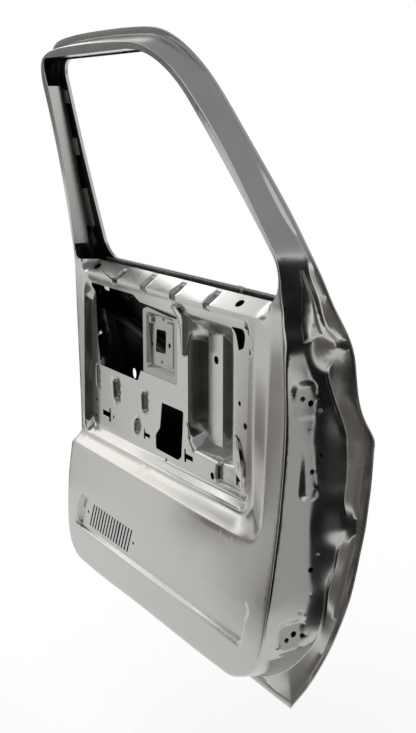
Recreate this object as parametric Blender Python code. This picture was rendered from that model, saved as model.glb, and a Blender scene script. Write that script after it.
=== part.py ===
"""Pressed-steel shell of a left front van door: metres, +X forward, +Y outboard, +Z up."""
import math

import bmesh
import bpy
import numpy as np
from mathutils import Matrix, Vector, geometry

for old in list(bpy.data.objects):
    bpy.data.objects.remove(old, do_unlink=True)

# Sheet thicknesses and the clearance between touching sheets
INNER_SHEET = 0.0010
SKIN_SHEET = 0.0009
RAIL_SHEET = 0.0012
PLATE_SHEET = 0.0025
CLEARANCE = 0.0003

# Heights of the main lines, from the underside of the inner panel's face
WAIST_Z = 0.736
LEDGE_RISE = 0.028
LEDGE_DEPTH = 0.038
GLASS_SLOT = 0.020
SILL_Z = WAIST_Z + LEDGE_RISE
SKIN_SILL_Z = SILL_Z + 0.006
RECESS_BOTTOM_Z = 0.335
BORDER_DROP = 0.040
WINDOW_TOP_Z = 1.243

# Depth of the outer skin by height, and of the raised border round the trim recess
SKIN_PROFILE = [(-0.07, 0.035), (0.10, 0.088), (0.25, 0.114), (0.40, 0.124), (0.50, 0.120),
                (WAIST_Z - 0.086, 0.094), (WAIST_Z + 0.064, 0.058), (WAIST_Z + 0.264, 0.012),
                (WAIST_Z + 0.564, -0.050)]
BORDER_PROFILE = [(0.0, -0.045), (0.12, -0.045), (0.20, -0.040), (0.30, -0.027), (0.40, -0.018),
                  (0.50, -0.014), (0.60, -0.010), (WAIST_Z + 0.024, 0.0)]
SKIN_CROWN = 0.006
SKIN_MID_X = -0.43
SKIN_HALF_LENGTH = 0.55
FRAME_LEAN = 0.10
FRAME_LEAN_GROWTH = 0.16

# Front leg of the window frame: its slope, and one point of the window's edge on it
LEG_SLOPE = 0.802
LEG_X = -0.224
LEG_Z = 1.106

# Trim recess, its pockets and openings
RECESS_DEPTH = 0.022
RECESS_TILT = 0.024
POCKET_DEPTH = 0.053
BLOCK_DEPTH = 0.0525
STORAGE_DEPTH = 0.010
LOUVRE_COUNT = 15
LOUVRE_PITCH = 0.0149
LOUVRE_WIDTH = 0.0062
LOUVRE_TOP_Z = 0.166
LOUVRE_BOTTOM_Z = 0.105
LOUVRE_FIRST_X = -0.793
LOUVRE_LEAN = 0.38
NOTCH_XS = (-0.723, -0.577, -0.437, -0.292)
NOTCH_WIDTH = 0.026
NOTCH_DEPTH = 0.010
T_SLOTS = ((-0.824, 0.386, -1.3), (-0.606, 0.383, 0.9), (-0.406, 0.381, 1.1), (-0.2015, 0.384, 1.0))

# Hem
FOLD_RADIUS = INNER_SHEET / 2 + CLEARANCE + SKIN_SHEET / 2
HEM_REACH = 0.003

# Run channels round the glass
RUN_DEPTH = 0.036
RUN_LIP = 0.0035
RUN_FOOT = 0.012
RUN_TABS = ((0.161, 0.359), (0.528, 0.614), (0.785, 0.852))



def window_z(share):
    """Height of a point of the window, by its share of the way from the sill to the top."""
    return SILL_Z + share * (WINDOW_TOP_Z - SILL_Z)


# Hinge side: depth and height of each seat's centre, the slant of the seats and of the wall between
# them, and by height how wide a strip of the wall flares out to the ridge
UPPER_HINGE = (0.044, 0.596)
LOWER_HINGE = (0.029, 0.124)
CHECK_STRAP = (0.056, 0.457)
SEAT_SLANT = -0.02
FLARE_WIDTH = [(0.08, 0.024), (0.20, 0.030), (0.35, 0.038), (0.50, 0.038), (0.58, 0.024), (0.70, 0.020)]
FLARE_ENDS = (0.082, 0.122, 0.650, 0.700)
MOUNT_RISE = 0.013
HINGE_SEAT = (0.068, 0.056)
CHECK_SEAT = (0.050, 0.096)
BOLT_HOLE_RADIUS = 0.0055
NUT_WIDTH = 0.017
NUT_BORE_RADIUS = 0.0042
NUT_HEIGHT = 0.008

# Latch seat on the rear wall
LATCH = (0.042, 0.540)
LATCH_SEAT = (0.070, 0.110)
LATCH_OPENING = (0.030, 0.048)

# Side impact beam: depth and height of its rear end and of its front end
BEAM_REAR = (0.082, 0.640)
BEAM_FRONT = (0.1095, 0.420)
BEAM_RADIUS = 0.0125
BEAM_WALL = 0.0022

# Glass slot pieces
OUTER_RAIL_Y = LEDGE_DEPTH + GLASS_SLOT
OUTER_RAIL_FOOT_Z = WAIST_Z + 0.002
OUTER_RAIL_XS = (-0.885, -0.110)
GUIDE_WIDTH = 0.014
GUIDE_DEPTH = 0.015

STEEL = (0.42, 0.42, 0.41)
PLATE_STEEL = (0.34, 0.34, 0.33)
ZINC = (0.55, 0.54, 0.50)


def steel(name, colour, roughness=0.35):
    """A bare or coated steel surface for one piece."""
    mat = bpy.data.materials.new(name + "_steel")
    mat.use_nodes = True
    shader = mat.node_tree.nodes["Principled BSDF"]
    shader.inputs["Base Color"].default_value = (*colour, 1.0)
    shader.inputs["Roughness"].default_value = roughness
    shader.inputs["Metallic"].default_value = 1.0
    return mat


def smooth_keys(keys, value):
    """Read a smooth curve through (position, height) keys at one position or an array of them."""
    at = np.asarray(value, dtype=float)
    xs = np.array([k[0] for k in keys])
    ys = np.array([k[1] for k in keys])
    slopes = np.gradient(ys, xs)
    at = np.clip(at, xs[0], xs[-1])
    i = np.clip(np.searchsorted(xs, at) - 1, 0, len(xs) - 2)
    span = xs[i + 1] - xs[i]
    t = (at - xs[i]) / span
    rise = (2 * t**3 - 3 * t**2 + 1) * ys[i] + (3 * t**2 - 2 * t**3) * ys[i + 1]
    lift = (t**3 - 2 * t**2 + t) * slopes[i] + (t**3 - t**2) * slopes[i + 1]
    return rise + span * lift


def skin_y(x, z):
    """Depth of the outer skin's middle surface."""
    crown = SKIN_CROWN * (1.0 - ((np.asarray(x) - SKIN_MID_X) / SKIN_HALF_LENGTH) ** 2)
    return smooth_keys(SKIN_PROFILE, z) + crown


def outline_distance(loop, x, z):
    """Shortest distance from each point to a closed outline, and whether it is inside."""
    x = np.asarray(x, dtype=float)
    z = np.asarray(z, dtype=float)
    a = np.array(loop)
    b = np.roll(a, -1, axis=0)
    px = x[..., None]
    pz = z[..., None]
    ex, ez = (b - a).T
    t = ((px - a[:, 0]) * ex + (pz - a[:, 1]) * ez) / np.maximum(ex * ex + ez * ez, 1e-16)
    t = np.clip(t, 0.0, 1.0)
    gap = np.hypot(px - a[:, 0] - t * ex, pz - a[:, 1] - t * ez).min(axis=-1)
    rising = (a[:, 1] > pz) != (b[:, 1] > pz)
    cross_x = a[:, 0] + (pz - a[:, 1]) / np.where(ez == 0, 1e-16, ez) * ex
    inside = (np.sum(rising & (px < cross_x), axis=-1) % 2) == 1
    return gap, inside


def rounded(corners, radius, steps=3):
    """Closed outline through corners, each rounded by an arc. Radius is one value or one a corner."""
    points = []
    count = len(corners)
    for i, corner in enumerate(corners):
        r = radius[i] if isinstance(radius, (list, tuple)) else radius
        here = Vector(corner)
        before = (Vector(corners[i - 1]) - here).normalized()
        after = (Vector(corners[(i + 1) % count]) - here).normalized()
        half = 0.5 * before.angle(after)
        if r <= 0 or half > math.pi / 2 - 0.02:
            points.append((here.x, here.y))
            continue
        reach = r / math.tan(half)
        centre = here + (before + after).normalized() * (r / math.sin(half))
        start = here + before * reach - centre
        end = here + after * reach - centre
        sweep = start.angle_signed(end)
        for k in range(steps + 1):
            turn = -sweep * k / steps
            spoke = Matrix.Rotation(turn, 2) @ start
            points.append((centre.x + spoke.x, centre.y + spoke.y))
    return points


def inset(corners, width):
    """Corners of an outline (anticlockwise) moved inwards by one width, or one width a side."""
    count = len(corners)
    widths = width if isinstance(width, (list, tuple)) else [width] * count
    lines = []
    for i in range(count):
        a = Vector(corners[i])
        b = Vector(corners[(i + 1) % count])
        along = (b - a).normalized()
        shift = Vector((-along.y, along.x)) * widths[i]
        lines.append((a + shift, b + shift))
    moved = []
    for i in range(count):
        a, b = lines[i - 1]
        c, d = lines[i]
        meet = geometry.intersect_line_line(a.to_3d(), b.to_3d(), c.to_3d(), d.to_3d())
        moved.append((meet[0].x, meet[0].y) if meet else (c.x, c.y))
    return moved


def box_outline(middle, half, radius=0.0, steps=2):
    """A rectangle round its middle point, with rounded corners."""
    corners = [(middle[0] + a * half[0], middle[1] + b * half[1])
               for a, b in ((-1, -1), (1, -1), (1, 1), (-1, 1))]
    return rounded(corners, radius, steps) if radius else corners


class Press:
    """A pressed step: nothing outside one outline, its full depth inside the other."""

    def __init__(self, outer, inner, depth):
        self.outer = outer
        self.inner = inner
        self.depth = depth

    def __call__(self, x, z):
        gap_out, in_outer = outline_distance(self.outer, x, z)
        gap_in, in_inner = outline_distance(self.inner, x, z)
        ramp = gap_out / np.maximum(gap_out + gap_in, 1e-9)
        return self.depth * np.where(in_inner, 1.0, np.where(in_outer, ramp, 0.0))


def pressed(corners, radius, wall, depth, steps=2):
    """A press with walls of one width, or one width a side."""
    thin = min(wall) if isinstance(wall, (list, tuple)) else wall
    inner_radius = max(0.0006, radius - thin)
    return Press(rounded(corners, radius, steps), rounded(inset(corners, wall), inner_radius, steps), depth)


# The raised border of the inner panel turns up along the hinge side, round the trim recess
FAR = 1.0
FRONT_LIMIT = -0.136


def recess_low(x):
    """Height of the recess's lower edge, which drops a little towards the rear."""
    return RECESS_BOTTOM_Z + RECESS_TILT * (x - FRONT_LIMIT)


border_edge = rounded([(-FAR, RECESS_BOTTOM_Z - BORDER_DROP), (-0.035, RECESS_BOTTOM_Z - BORDER_DROP),
                       (-0.035, FAR), (-FAR, FAR)], [0, 0.055, 0, 0], 5)
plane_edge = rounded([(-FAR, recess_low(-FAR)), (-0.112, recess_low(-0.112)), (-0.112, FAR), (-FAR, FAR)],
                     [0, 0.045, 0, 0], 5)
upper_plane = Press(border_edge, plane_edge, 1.0)

# Presses of the trim recess
recess_corners = [(-0.914, recess_low(-0.914)), (FRONT_LIMIT, RECESS_BOTTOM_Z), (-0.122, WAIST_Z - 0.004),
                  (-0.898, WAIST_Z - 0.004)]
recess_floor = [(-0.910, RECESS_BOTTOM_Z + 0.010), (-0.140, RECESS_BOTTOM_Z + 0.016),
                (-0.1275, WAIST_Z - 0.054), (-0.894, WAIST_Z - 0.054)]
recess = Press(rounded(recess_corners, 0.030, 4), rounded(recess_floor, 0.026, 4), RECESS_DEPTH)
POCKET_LOW_Z = 0.394
POCKET_HIGH_Z = WAIST_Z - 0.034
POCKET_WALLS = [0.047, 0.045, 0.066, 0.007, 0.030]
pocket_corners = [(-0.385, POCKET_LOW_Z), (-0.2185, POCKET_LOW_Z), (-0.2185, POCKET_HIGH_Z),
                  (-0.4075, POCKET_HIGH_Z), (-0.4075, 0.423)]
pocket = pressed(pocket_corners, 0.010, POCKET_WALLS, POCKET_DEPTH)
block = pressed([(-0.372, 0.405), (-0.309, 0.405), (-0.309, 0.682), (-0.372, 0.682)], 0.002, 0.0025, 1.0, 1)
rib = pressed([(-0.420, 0.604), (-0.4095, 0.604), (-0.4095, 0.700), (-0.414, 0.716), (-0.446, 0.716),
               (-0.441, 0.690), (-0.428, 0.660)], 0.004, 0.004, -0.010)
corner_cup = pressed([(-0.286, 0.357), (-0.186, 0.360), (-0.178, 0.420), (-0.263, 0.420), (-0.284, 0.397)],
                     0.010, 0.006, 0.008)
drop_a = pressed([(-0.784, 0.420), (-0.750, 0.440), (-0.750, 0.488), (-0.790, 0.482)], 0.010, 0.005, 0.010)
drop_b = pressed([(-0.631, 0.423), (-0.601, 0.443), (-0.601, 0.488), (-0.635, 0.482)], 0.010, 0.005, 0.010)
drop_c = pressed([(-0.676, 0.362), (-0.644, 0.380), (-0.644, 0.422), (-0.672, 0.404)], 0.009, 0.005, 0.010)
side_dent = pressed([(-0.884, 0.445), (-0.866, 0.445), (-0.868, 0.492), (-0.884, 0.522)], 0.006, 0.004, 0.008)
storage = pressed([(-0.882, 0.088), (-0.080, 0.088), (-0.057, 0.178), (-0.849, 0.178)], 0.010,
                  [0.006, 0.005, 0.004, 0.005], STORAGE_DEPTH, 3)
presses = [recess, pocket, rib, corner_cup, drop_a, drop_b, drop_c, side_dent, storage]
for notch_x in NOTCH_XS:
    low = WAIST_Z - 0.013
    high = SILL_Z - 0.004
    side = NOTCH_WIDTH / 2
    presses.append(pressed([(notch_x - side, low), (notch_x + side, low), (notch_x + side, high),
                            (notch_x - side, high)], 0.003, [0.006, 0.004, 0.010, 0.004], NOTCH_DEPTH, 1))

FRAME_FOOT_Z = SILL_Z + 0.036
LEDGE_ENDS = (-0.915, -0.885, -0.105, -0.055)


def face_y(x, z):
    """Depth of the inner panel's face, from the raised lower border up to the window frame."""
    x = np.asarray(x, dtype=float)
    z = np.asarray(z, dtype=float)
    border = smooth_keys(BORDER_PROFILE, z)
    above = np.maximum(z - BORDER_PROFILE[-1][0], 0.0)
    depth = border * (1.0 - upper_plane(x, z)) - FRAME_LEAN * above - FRAME_LEAN_GROWTH * above**2
    for press in presses:
        depth = depth + press(x, z)
    depth = depth - block(x, z) * np.maximum(depth - BLOCK_DEPTH, 0.0)
    climb = np.clip((z - WAIST_Z) / LEDGE_RISE, 0.0, 1.0) * np.clip((FRAME_FOOT_Z - z) / 0.025, 0.0, 1.0)
    rear = np.clip((x - LEDGE_ENDS[0]) / (LEDGE_ENDS[1] - LEDGE_ENDS[0]), 0.0, 1.0)
    front = np.clip((LEDGE_ENDS[3] - x) / (LEDGE_ENDS[3] - LEDGE_ENDS[2]), 0.0, 1.0)
    return depth + LEDGE_DEPTH * climb * np.minimum(rear, front)


# Edge of the door, anticlockwise from the rear end of the underside. Each row gives the face's edge,
# the ridge where the side wall meets the flange, the hem's edge, the ridge's drop below the skin, the
# hem's width, the radius of the face's edge and the number of steps to the next row.
EDGE = [
    ((-0.865, 0.000), (-0.865, -0.019), (-0.865, -0.048), 0.014, 0.010, 0.012, 4),
    ((-0.500, 0.000), (-0.500, -0.019), (-0.500, -0.048), 0.014, 0.010, 0.012, 4),
    ((-0.137, 0.002), (-0.132, -0.019), (-0.130, -0.048), 0.014, 0.010, 0.012, 2),
    ((-0.098, 0.013), (-0.100, -0.006), (-0.080, -0.048), 0.014, 0.010, 0.010, 2),
    ((-0.055, 0.036), (-0.054, 0.026), (-0.029, -0.047), 0.014, 0.012, 0.010, 3),
    ((-0.012, 0.082), (-0.012, 0.076), (0.004, 0.010), 0.016, 0.018, 0.008, 2),
    ((0.000, 0.120), (0.014, 0.118), (0.034, 0.084), 0.018, 0.015, 0.006, 2),
    ((0.007, 0.165), (0.022, 0.158), (0.052, 0.140), 0.018, 0.012, 0.005, 2),
    ((0.013, 0.215), (0.020, 0.212), (0.069, 0.205), 0.018, 0.017, 0.005, 2),
    ((0.013, 0.262), (0.031, 0.264), (0.078, 0.262), 0.018, 0.020, 0.005, 1),
    ((0.013, 0.306), (0.039, 0.308), (0.084, 0.306), 0.018, 0.013, 0.005, 1),
    ((0.014, 0.350), (0.055, 0.352), (0.092, 0.350), 0.018, 0.024, 0.005, 1),
    ((0.016, 0.395), (0.042, 0.396), (0.098, 0.396), 0.018, 0.025, 0.005, 1),
    ((0.018, 0.440), (0.048, 0.440), (0.105, 0.440), 0.018, 0.025, 0.005, 1),
    ((0.020, 0.475), (0.052, 0.475), (0.110, 0.475), 0.018, 0.024, 0.005, 1),
    ((0.021, 0.505), (0.054, 0.505), (0.115, 0.505), 0.018, 0.017, 0.005, 1),
    ((0.021, 0.535), (0.056, 0.535), (0.120, 0.536), 0.018, 0.012, 0.005, 1),
    ((0.020, 0.570), (0.042, 0.572), (0.095, 0.572), 0.018, 0.009, 0.005, 1),
    ((0.017, 0.605), (0.030, 0.602), (0.087, 0.603), 0.018, 0.009, 0.005, 1),
    ((0.010, 0.650), (0.024, 0.648), (0.090, 0.648), 0.018, 0.009, 0.005, 1),
    ((0.003, 0.685), (0.055, 0.682), (0.094, 0.684), 0.016, 0.009, 0.005, 1),
    ((-0.001, 0.707), (0.071, 0.706), (0.092, 0.708), 0.014, 0.009, 0.004, 1),
    ((-0.008, 0.735), (0.041, 0.738), (0.081, 0.736), 0.014, 0.009, 0.003, 1),
    ((-0.016, 0.782), (0.028, 0.784), (0.056, 0.778), 0.012, 0.009, 0.003, 1),
    ((-0.013, 0.820), (0.010, 0.822), (0.036, 0.824), 0.010, 0.009, 0.003, 1),
    ((-0.019, 0.858), (-0.004, 0.864), (0.012, 0.867), 0.008, 0.009, 0.003, 2),
    ((-0.064, 0.924), (-0.054, 0.932), (-0.037, 0.946), 0.008, 0.010, 0.003, 3),
    ((-0.159, 1.060), (-0.150, 1.067), (-0.137, 1.076), 0.008, 0.009, 0.003, 2),
    ((-0.238, 1.152), (-0.230, 1.160), (-0.216, 1.171), 0.008, 0.009, 0.003, 2),
    ((-0.290, 1.199), (-0.282, 1.208), (-0.270, 1.218), 0.008, 0.009, 0.003, 2),
    ((-0.346, 1.231), (-0.340, 1.241), (-0.333, 1.256), 0.008, 0.009, 0.003, 2),
    ((-0.411, 1.252), (-0.407, 1.263), (-0.401, 1.280), 0.008, 0.009, 0.003, 1),
    ((-0.480, 1.259), (-0.480, 1.271), (-0.480, 1.289), 0.008, 0.009, 0.003, 2),
    ((-0.660, 1.263), (-0.660, 1.275), (-0.660, 1.293), 0.008, 0.009, 0.003, 2),
    ((-0.850, 1.258), (-0.851, 1.270), (-0.852, 1.289), 0.008, 0.009, 0.003, 2),
    ((-0.918, 1.244), (-0.925, 1.256), (-0.936, 1.275), 0.008, 0.009, 0.003, 1),
    ((-0.945, 1.218), (-0.957, 1.228), (-0.973, 1.241), 0.009, 0.009, 0.003, 1),
    ((-0.956, 1.176), (-0.969, 1.179), (-0.988, 1.184), 0.010, 0.009, 0.004, 6),
    ((-0.954, 0.780), (-0.968, 0.780), (-0.991, 0.780), 0.012, 0.010, 0.004, 6),
    ((-0.942, 0.400), (-0.958, 0.400), (-0.984, 0.400), 0.014, 0.010, 0.012, 6),
    ((-0.935, 0.080), (-0.953, 0.080), (-0.981, 0.080), 0.014, 0.010, 0.012, 2),
    ((-0.914, 0.024), (-0.929, 0.008), (-0.950, -0.014), 0.014, 0.010, 0.012, 2),
]
SHARP_HEM_ROW = 4


def spline(points, steps, corner=None):
    """Points on a smooth closed curve through the rows of EDGE, with at most one sharp corner."""
    pts = np.array(points, dtype=float)
    count = len(pts)
    lengths = np.linalg.norm(np.roll(pts, -1, axis=0) - pts, axis=1)
    result = []
    for i in range(count):
        j = (i + 1) % count
        tangents = []
        for end, other in ((i, j), (j, i)):
            if end == corner:
                tangents.append(pts[j] - pts[i])
                continue
            before = (pts[end] - pts[end - 1]) / lengths[end - 1]
            after = (pts[(end + 1) % count] - pts[end]) / lengths[end]
            mix = (before * lengths[end - 1] + after * lengths[end]) / (lengths[end] + lengths[end - 1])
            tangents.append(mix * lengths[i])
        for k in range(steps[i]):
            t = k / steps[i]
            place = (2 * t**3 - 3 * t**2 + 1) * pts[i] + (3 * t**2 - 2 * t**3) * pts[j]
            place = place + (t**3 - 2 * t**2 + t) * tangents[0] + (t**3 - t**2) * tangents[1]
            result.append(place)
    return np.array(result)


edge_steps = [row[6] for row in EDGE]
share = np.concatenate([i + np.arange(n) / n for i, n in enumerate(edge_steps)])


def along_edge(column):
    """A width from EDGE at each station round the door."""
    values = [row[column] for row in EDGE] + [EDGE[0][column]]
    return np.interp(share, range(len(values)), values)


face_edge = spline([row[0] for row in EDGE], edge_steps)
ridge = spline([row[1] for row in EDGE], edge_steps)
hem_edge = spline([row[2] for row in EDGE], edge_steps, SHARP_HEM_ROW)
ridge_drop = along_edge(3)
hem_width = along_edge(4)
edge_radius = along_edge(5)


def toward(start, end, distance):
    """Points moved from start towards end by a distance."""
    way = end - start
    way = way / np.linalg.norm(way, axis=1)[:, None]
    return start + way * np.broadcast_to(distance, (len(start),))[:, None]


def ring(points, depth):
    """A closed row of points in space from an outline and its depths."""
    depth = np.broadcast_to(depth, (len(points),))
    return np.column_stack([points[:, 0], depth, points[:, 1]])


def rings_face(rings, offset, closed=True):
    """Quads between rings of equal length, numbered from offset."""
    quads = []
    count = len(rings[0])
    last = count if closed else count - 1
    for r in range(len(rings) - 1):
        for i in range(last):
            j = (i + 1) % count
            a = offset + r * count
            b = offset + (r + 1) * count
            quads.append((a + i, a + j, b + j, b + i))
    return quads


def gaps_to_lines(spot, starts, ends):
    """Distances from one point to many straight lines in a plane."""
    way = ends - starts
    t = ((spot - starts) * way).sum(axis=1) / np.maximum((way**2).sum(axis=1), 1e-16)
    return np.linalg.norm(spot - starts - np.clip(t, 0, 1)[:, None] * way, axis=1)


def blank(outer, holes, breaks, lift, grid=0.0):
    """A sheet inside one outline and outside the holes, bent along the breaks, set in space by lift."""
    points = []
    edges = []
    for loop, closed in [(outer, True)] + [(h, True) for h in holes] + breaks:
        first = len(points)
        points.extend(Vector((float(p[0]), float(p[1]))) for p in loop)
        last = len(points) if closed else len(points) - 1
        for i in range(first, last):
            edges.append((i, i + 1 if i + 1 < len(points) else first))
    if grid:
        fixed = np.array([(p.x, p.y) for p in points])
        starts = fixed[[e[0] for e in edges]]
        ends = fixed[[e[1] for e in edges]]
        low = fixed.min(axis=0) + grid / 2
        high = fixed.max(axis=0)
        for row, v in enumerate(np.arange(low[1], high[1], grid * 0.87)):
            for u in np.arange(low[0] + (row % 2) * grid / 2, high[0], grid):
                if gaps_to_lines(np.array((u, v)), starts, ends).min() > grid * 0.3:
                    points.append(Vector((float(u), float(v))))
    found = geometry.delaunay_2d_cdt(points, edges, [], 0, 1e-6)
    flat = np.array([(p.x, p.y) for p in found[0]])
    tris = np.array([f for f in found[2]])
    middle = flat[tris].mean(axis=1)
    keep = outline_distance(outer, middle[:, 0], middle[:, 1])[1]
    for hole in holes:
        keep &= ~outline_distance(hole, middle[:, 0], middle[:, 1])[1]
    return lift(flat[:, 0], flat[:, 1]), [tuple(int(i) for i in t) for t in tris[keep]]


def circle(x, z, radius, count=8, stretch=1.0):
    """A round or oval outline, anticlockwise."""
    turns = [2 * math.pi * i / count for i in range(count)]
    return [(x + radius * math.cos(turn), z + radius * stretch * math.sin(turn)) for turn in turns]


def sheet(name, parts, thickness, mat, angle=35):
    """One object from rows of points and faces, welded, with a real sheet thickness."""
    mesh = bpy.data.meshes.new(name)
    build = bmesh.new()
    for points, faces in parts:
        verts = [build.verts.new([float(c) for c in p]) for p in points]
        for face in faces:
            if len(set(face)) > 2:
                build.faces.new([verts[i] for i in face])
    bmesh.ops.remove_doubles(build, verts=build.verts, dist=0.00003)
    loose = [v for v in build.verts if not v.link_faces]
    bmesh.ops.delete(build, geom=loose, context="VERTS")
    bmesh.ops.triangulate(build, faces=build.faces)
    bmesh.ops.recalc_face_normals(build, faces=build.faces)
    build.to_mesh(mesh)
    build.free()
    mesh.shade_smooth()
    mesh.set_sharp_from_angle(angle=math.radians(angle))
    mesh.materials.append(mat)
    thing = bpy.data.objects.new(name, mesh)
    bpy.context.scene.collection.objects.link(thing)
    solid = thing.modifiers.new("sheet", "SOLIDIFY")
    solid.thickness = thickness
    solid.offset = 0.0
    solid.use_even_offset = True
    return thing


def cut(thing, tools):
    """Cut holes with one tool object made of several separate prisms."""
    hole = thing.modifiers.new("holes", "BOOLEAN")
    hole.object = tools
    hole.operation = "DIFFERENCE"
    hole.solver = "EXACT"


def prism_tool(name, prisms):
    """A hidden cutter: each prism is (centre, direction, radius, length, sides)."""
    build = bmesh.new()
    for centre, direction, radius, length, sides in prisms:
        turn = Vector((0, 0, 1)).rotation_difference(Vector(direction)).to_matrix().to_4x4()
        place = Matrix.Translation(centre) @ turn
        bmesh.ops.create_cone(build, cap_ends=True, segments=sides, radius1=radius, radius2=radius,
                              depth=length, matrix=place)
    mesh = bpy.data.meshes.new(name)
    build.to_mesh(mesh)
    build.free()
    tool = bpy.data.objects.new(name, mesh)
    bpy.context.scene.collection.objects.link(tool)
    tool.hide_render = True
    tool.display_type = "WIRE"
    return tool


def part_of(loop, test):
    """The run of an outline's points that pass a test."""
    marks = [test(p) for p in loop]
    first = [i for i in range(len(loop)) if marks[i] and not marks[i - 1]][0]
    run = []
    while marks[(first + len(run)) % len(loop)]:
        run.append(loop[(first + len(run)) % len(loop)])
    return run


def spaced(run, gap):
    """An open run of points with more added so that none are further apart than gap."""
    result = [run[0]]
    for a, b in zip(run, run[1:]):
        count = max(1, math.ceil(math.dist(a, b) / gap))
        for k in range(1, count + 1):
            result.append((a[0] + (b[0] - a[0]) * k / count, a[1] + (b[1] - a[1]) * k / count))
    return result


# Outline of the inner panel's window and of the skin's window

def leg_line(z, shift=0.0):
    """X of the front leg's window edge at a height, moved into the window by shift."""
    return LEG_X + (LEG_Z - z) * LEG_SLOPE - shift * math.hypot(1.0, LEG_SLOPE)


def window_outline(rear_low, rear_top, low, top, shift, radii, steps=5):
    """The window's outline, anticlockwise from its rear lower corner."""
    corners = [(rear_low, low), (leg_line(low, shift), low), (leg_line(top, shift), top), (rear_top, top)]
    loop = rounded(corners, radii, steps)
    return spaced(loop + loop[:1], 0.045)[:-1]


window = window_outline(-0.9435, -0.924, SILL_Z, WINDOW_TOP_Z, 0.0, [0.020, 0.062, 0.280, 0.034])
skin_window = window_outline(-0.882, -0.900, SKIN_SILL_Z, WINDOW_TOP_Z - 0.003, 0.020,
                             [0.050, 0.055, 0.260, 0.040])

# Openings of the inner panel
access = rounded([(-0.857, 0.504), (-0.650, 0.504), (-0.633, 0.531), (-0.455, 0.531), (-0.455, 0.684),
                  (-0.629, 0.694), (-0.644, 0.710), (-0.877, 0.710), (-0.871, 0.577), (-0.861, 0.530)],
                 [0.006, 0.003, 0.004, 0.008, 0.006, 0.004, 0.006, 0.008, 0, 0.004], 2)
square = rounded([(-0.454, 0.361), (-0.438, 0.372), (-0.428, 0.478), (-0.529, 0.477), (-0.536, 0.435),
                  (-0.540, 0.415), (-0.561, 0.394), (-0.560, 0.362)][::1], 0.005, 2)
wedge = rounded([(-0.1983, 0.6536), (-0.1796, 0.6629), (-0.1694, 0.7031), (-0.2150, 0.7018)], 0.004, 1)
pocket_hole = circle(-0.338, 0.6065, 0.009)
small_holes = [(-0.884, 0.409, 0.004), (-0.889, 0.366, 0.004), (-0.785, 0.385, 0.004), (-0.509, 0.347, 0.004),
               (-0.194, 0.547, 0.005), (-0.152, 0.708, 0.005), (-0.824, 0.138, 0.004), (-0.572, 0.137, 0.004)]
round_holes = [circle(*hole, 6) for hole in small_holes]
round_holes += [circle(-0.302, 0.366, 0.008), circle(-0.172, 0.505, 0.007)]
ledge_mid_z = WAIST_Z + LEDGE_RISE / 2
ledge_holes = [circle(x, ledge_mid_z, 0.012, 8, 0.5) for x in (-0.857, -0.191)]


def t_slot(x, z, scale):
    """A keyhole slot for a trim clip: an upright with a bar. A scale under zero mirrors it."""
    loop = [(-0.017, -0.014), (-0.009, -0.014), (-0.009, -0.006), (0.018, -0.006), (0.018, 0.004),
            (-0.011, 0.004), (-0.011, 0.013), (-0.017, 0.013)]
    placed = [(x + scale * u, z + abs(scale) * v) for u, v in loop]
    return placed if scale > 0 else placed[::-1]


def louvre(index):
    """One leaning slot of the louvre field."""
    x = LOUVRE_FIRST_X + index * LOUVRE_PITCH
    foot = x - (LOUVRE_TOP_Z - LOUVRE_BOTTOM_Z) * LOUVRE_LEAN
    w = LOUVRE_WIDTH
    return [(foot, LOUVRE_BOTTOM_Z), (foot + w, LOUVRE_BOTTOM_Z), (x + w, LOUVRE_TOP_Z), (x, LOUVRE_TOP_Z)]


openings = [window, access, square, wedge, pocket_hole] + round_holes + ledge_holes
openings += [t_slot(*slot) for slot in T_SLOTS]
openings += [louvre(i) for i in range(LOUVRE_COUNT)]

# Stations round the inner panel's side wall and flange
face_start = toward(face_edge, ridge, -edge_radius)
face_depth = face_y(face_start[:, 0], face_start[:, 1])
ridge_depth = skin_y(ridge[:, 0], ridge[:, 1]) - ridge_drop
wall_share = edge_radius / np.maximum(ridge_depth - face_depth, 0.01)
wall_start = ring(face_edge + (ridge - face_edge) * wall_share[:, None], face_depth + edge_radius)
hem_stop = toward(hem_edge, ridge, hem_width + HEM_REACH)
flange_end = toward(hem_edge, ridge, FOLD_RADIUS + CLEARANCE * 2)
ridge_line = ring(ridge, ridge_depth)
corner_rings = [ring(face_start, face_depth), ring(face_edge, face_depth + 0.3 * edge_radius), wall_start]
flange_rings = [ridge_line, ring(hem_stop, skin_y(hem_stop[:, 0], hem_stop[:, 1]) - FOLD_RADIUS),
                ring(flange_end, skin_y(flange_end[:, 0], flange_end[:, 1]) - FOLD_RADIUS)]


def station(row):
    """Number of the first station of one row of EDGE."""
    return sum(edge_steps[:row])


def row_at(x, z):
    """The row of EDGE whose face edge is nearest to a place."""
    return min(range(len(EDGE)), key=lambda i: math.hypot(EDGE[i][0][0] - x, EDGE[i][0][1] - z))


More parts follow.
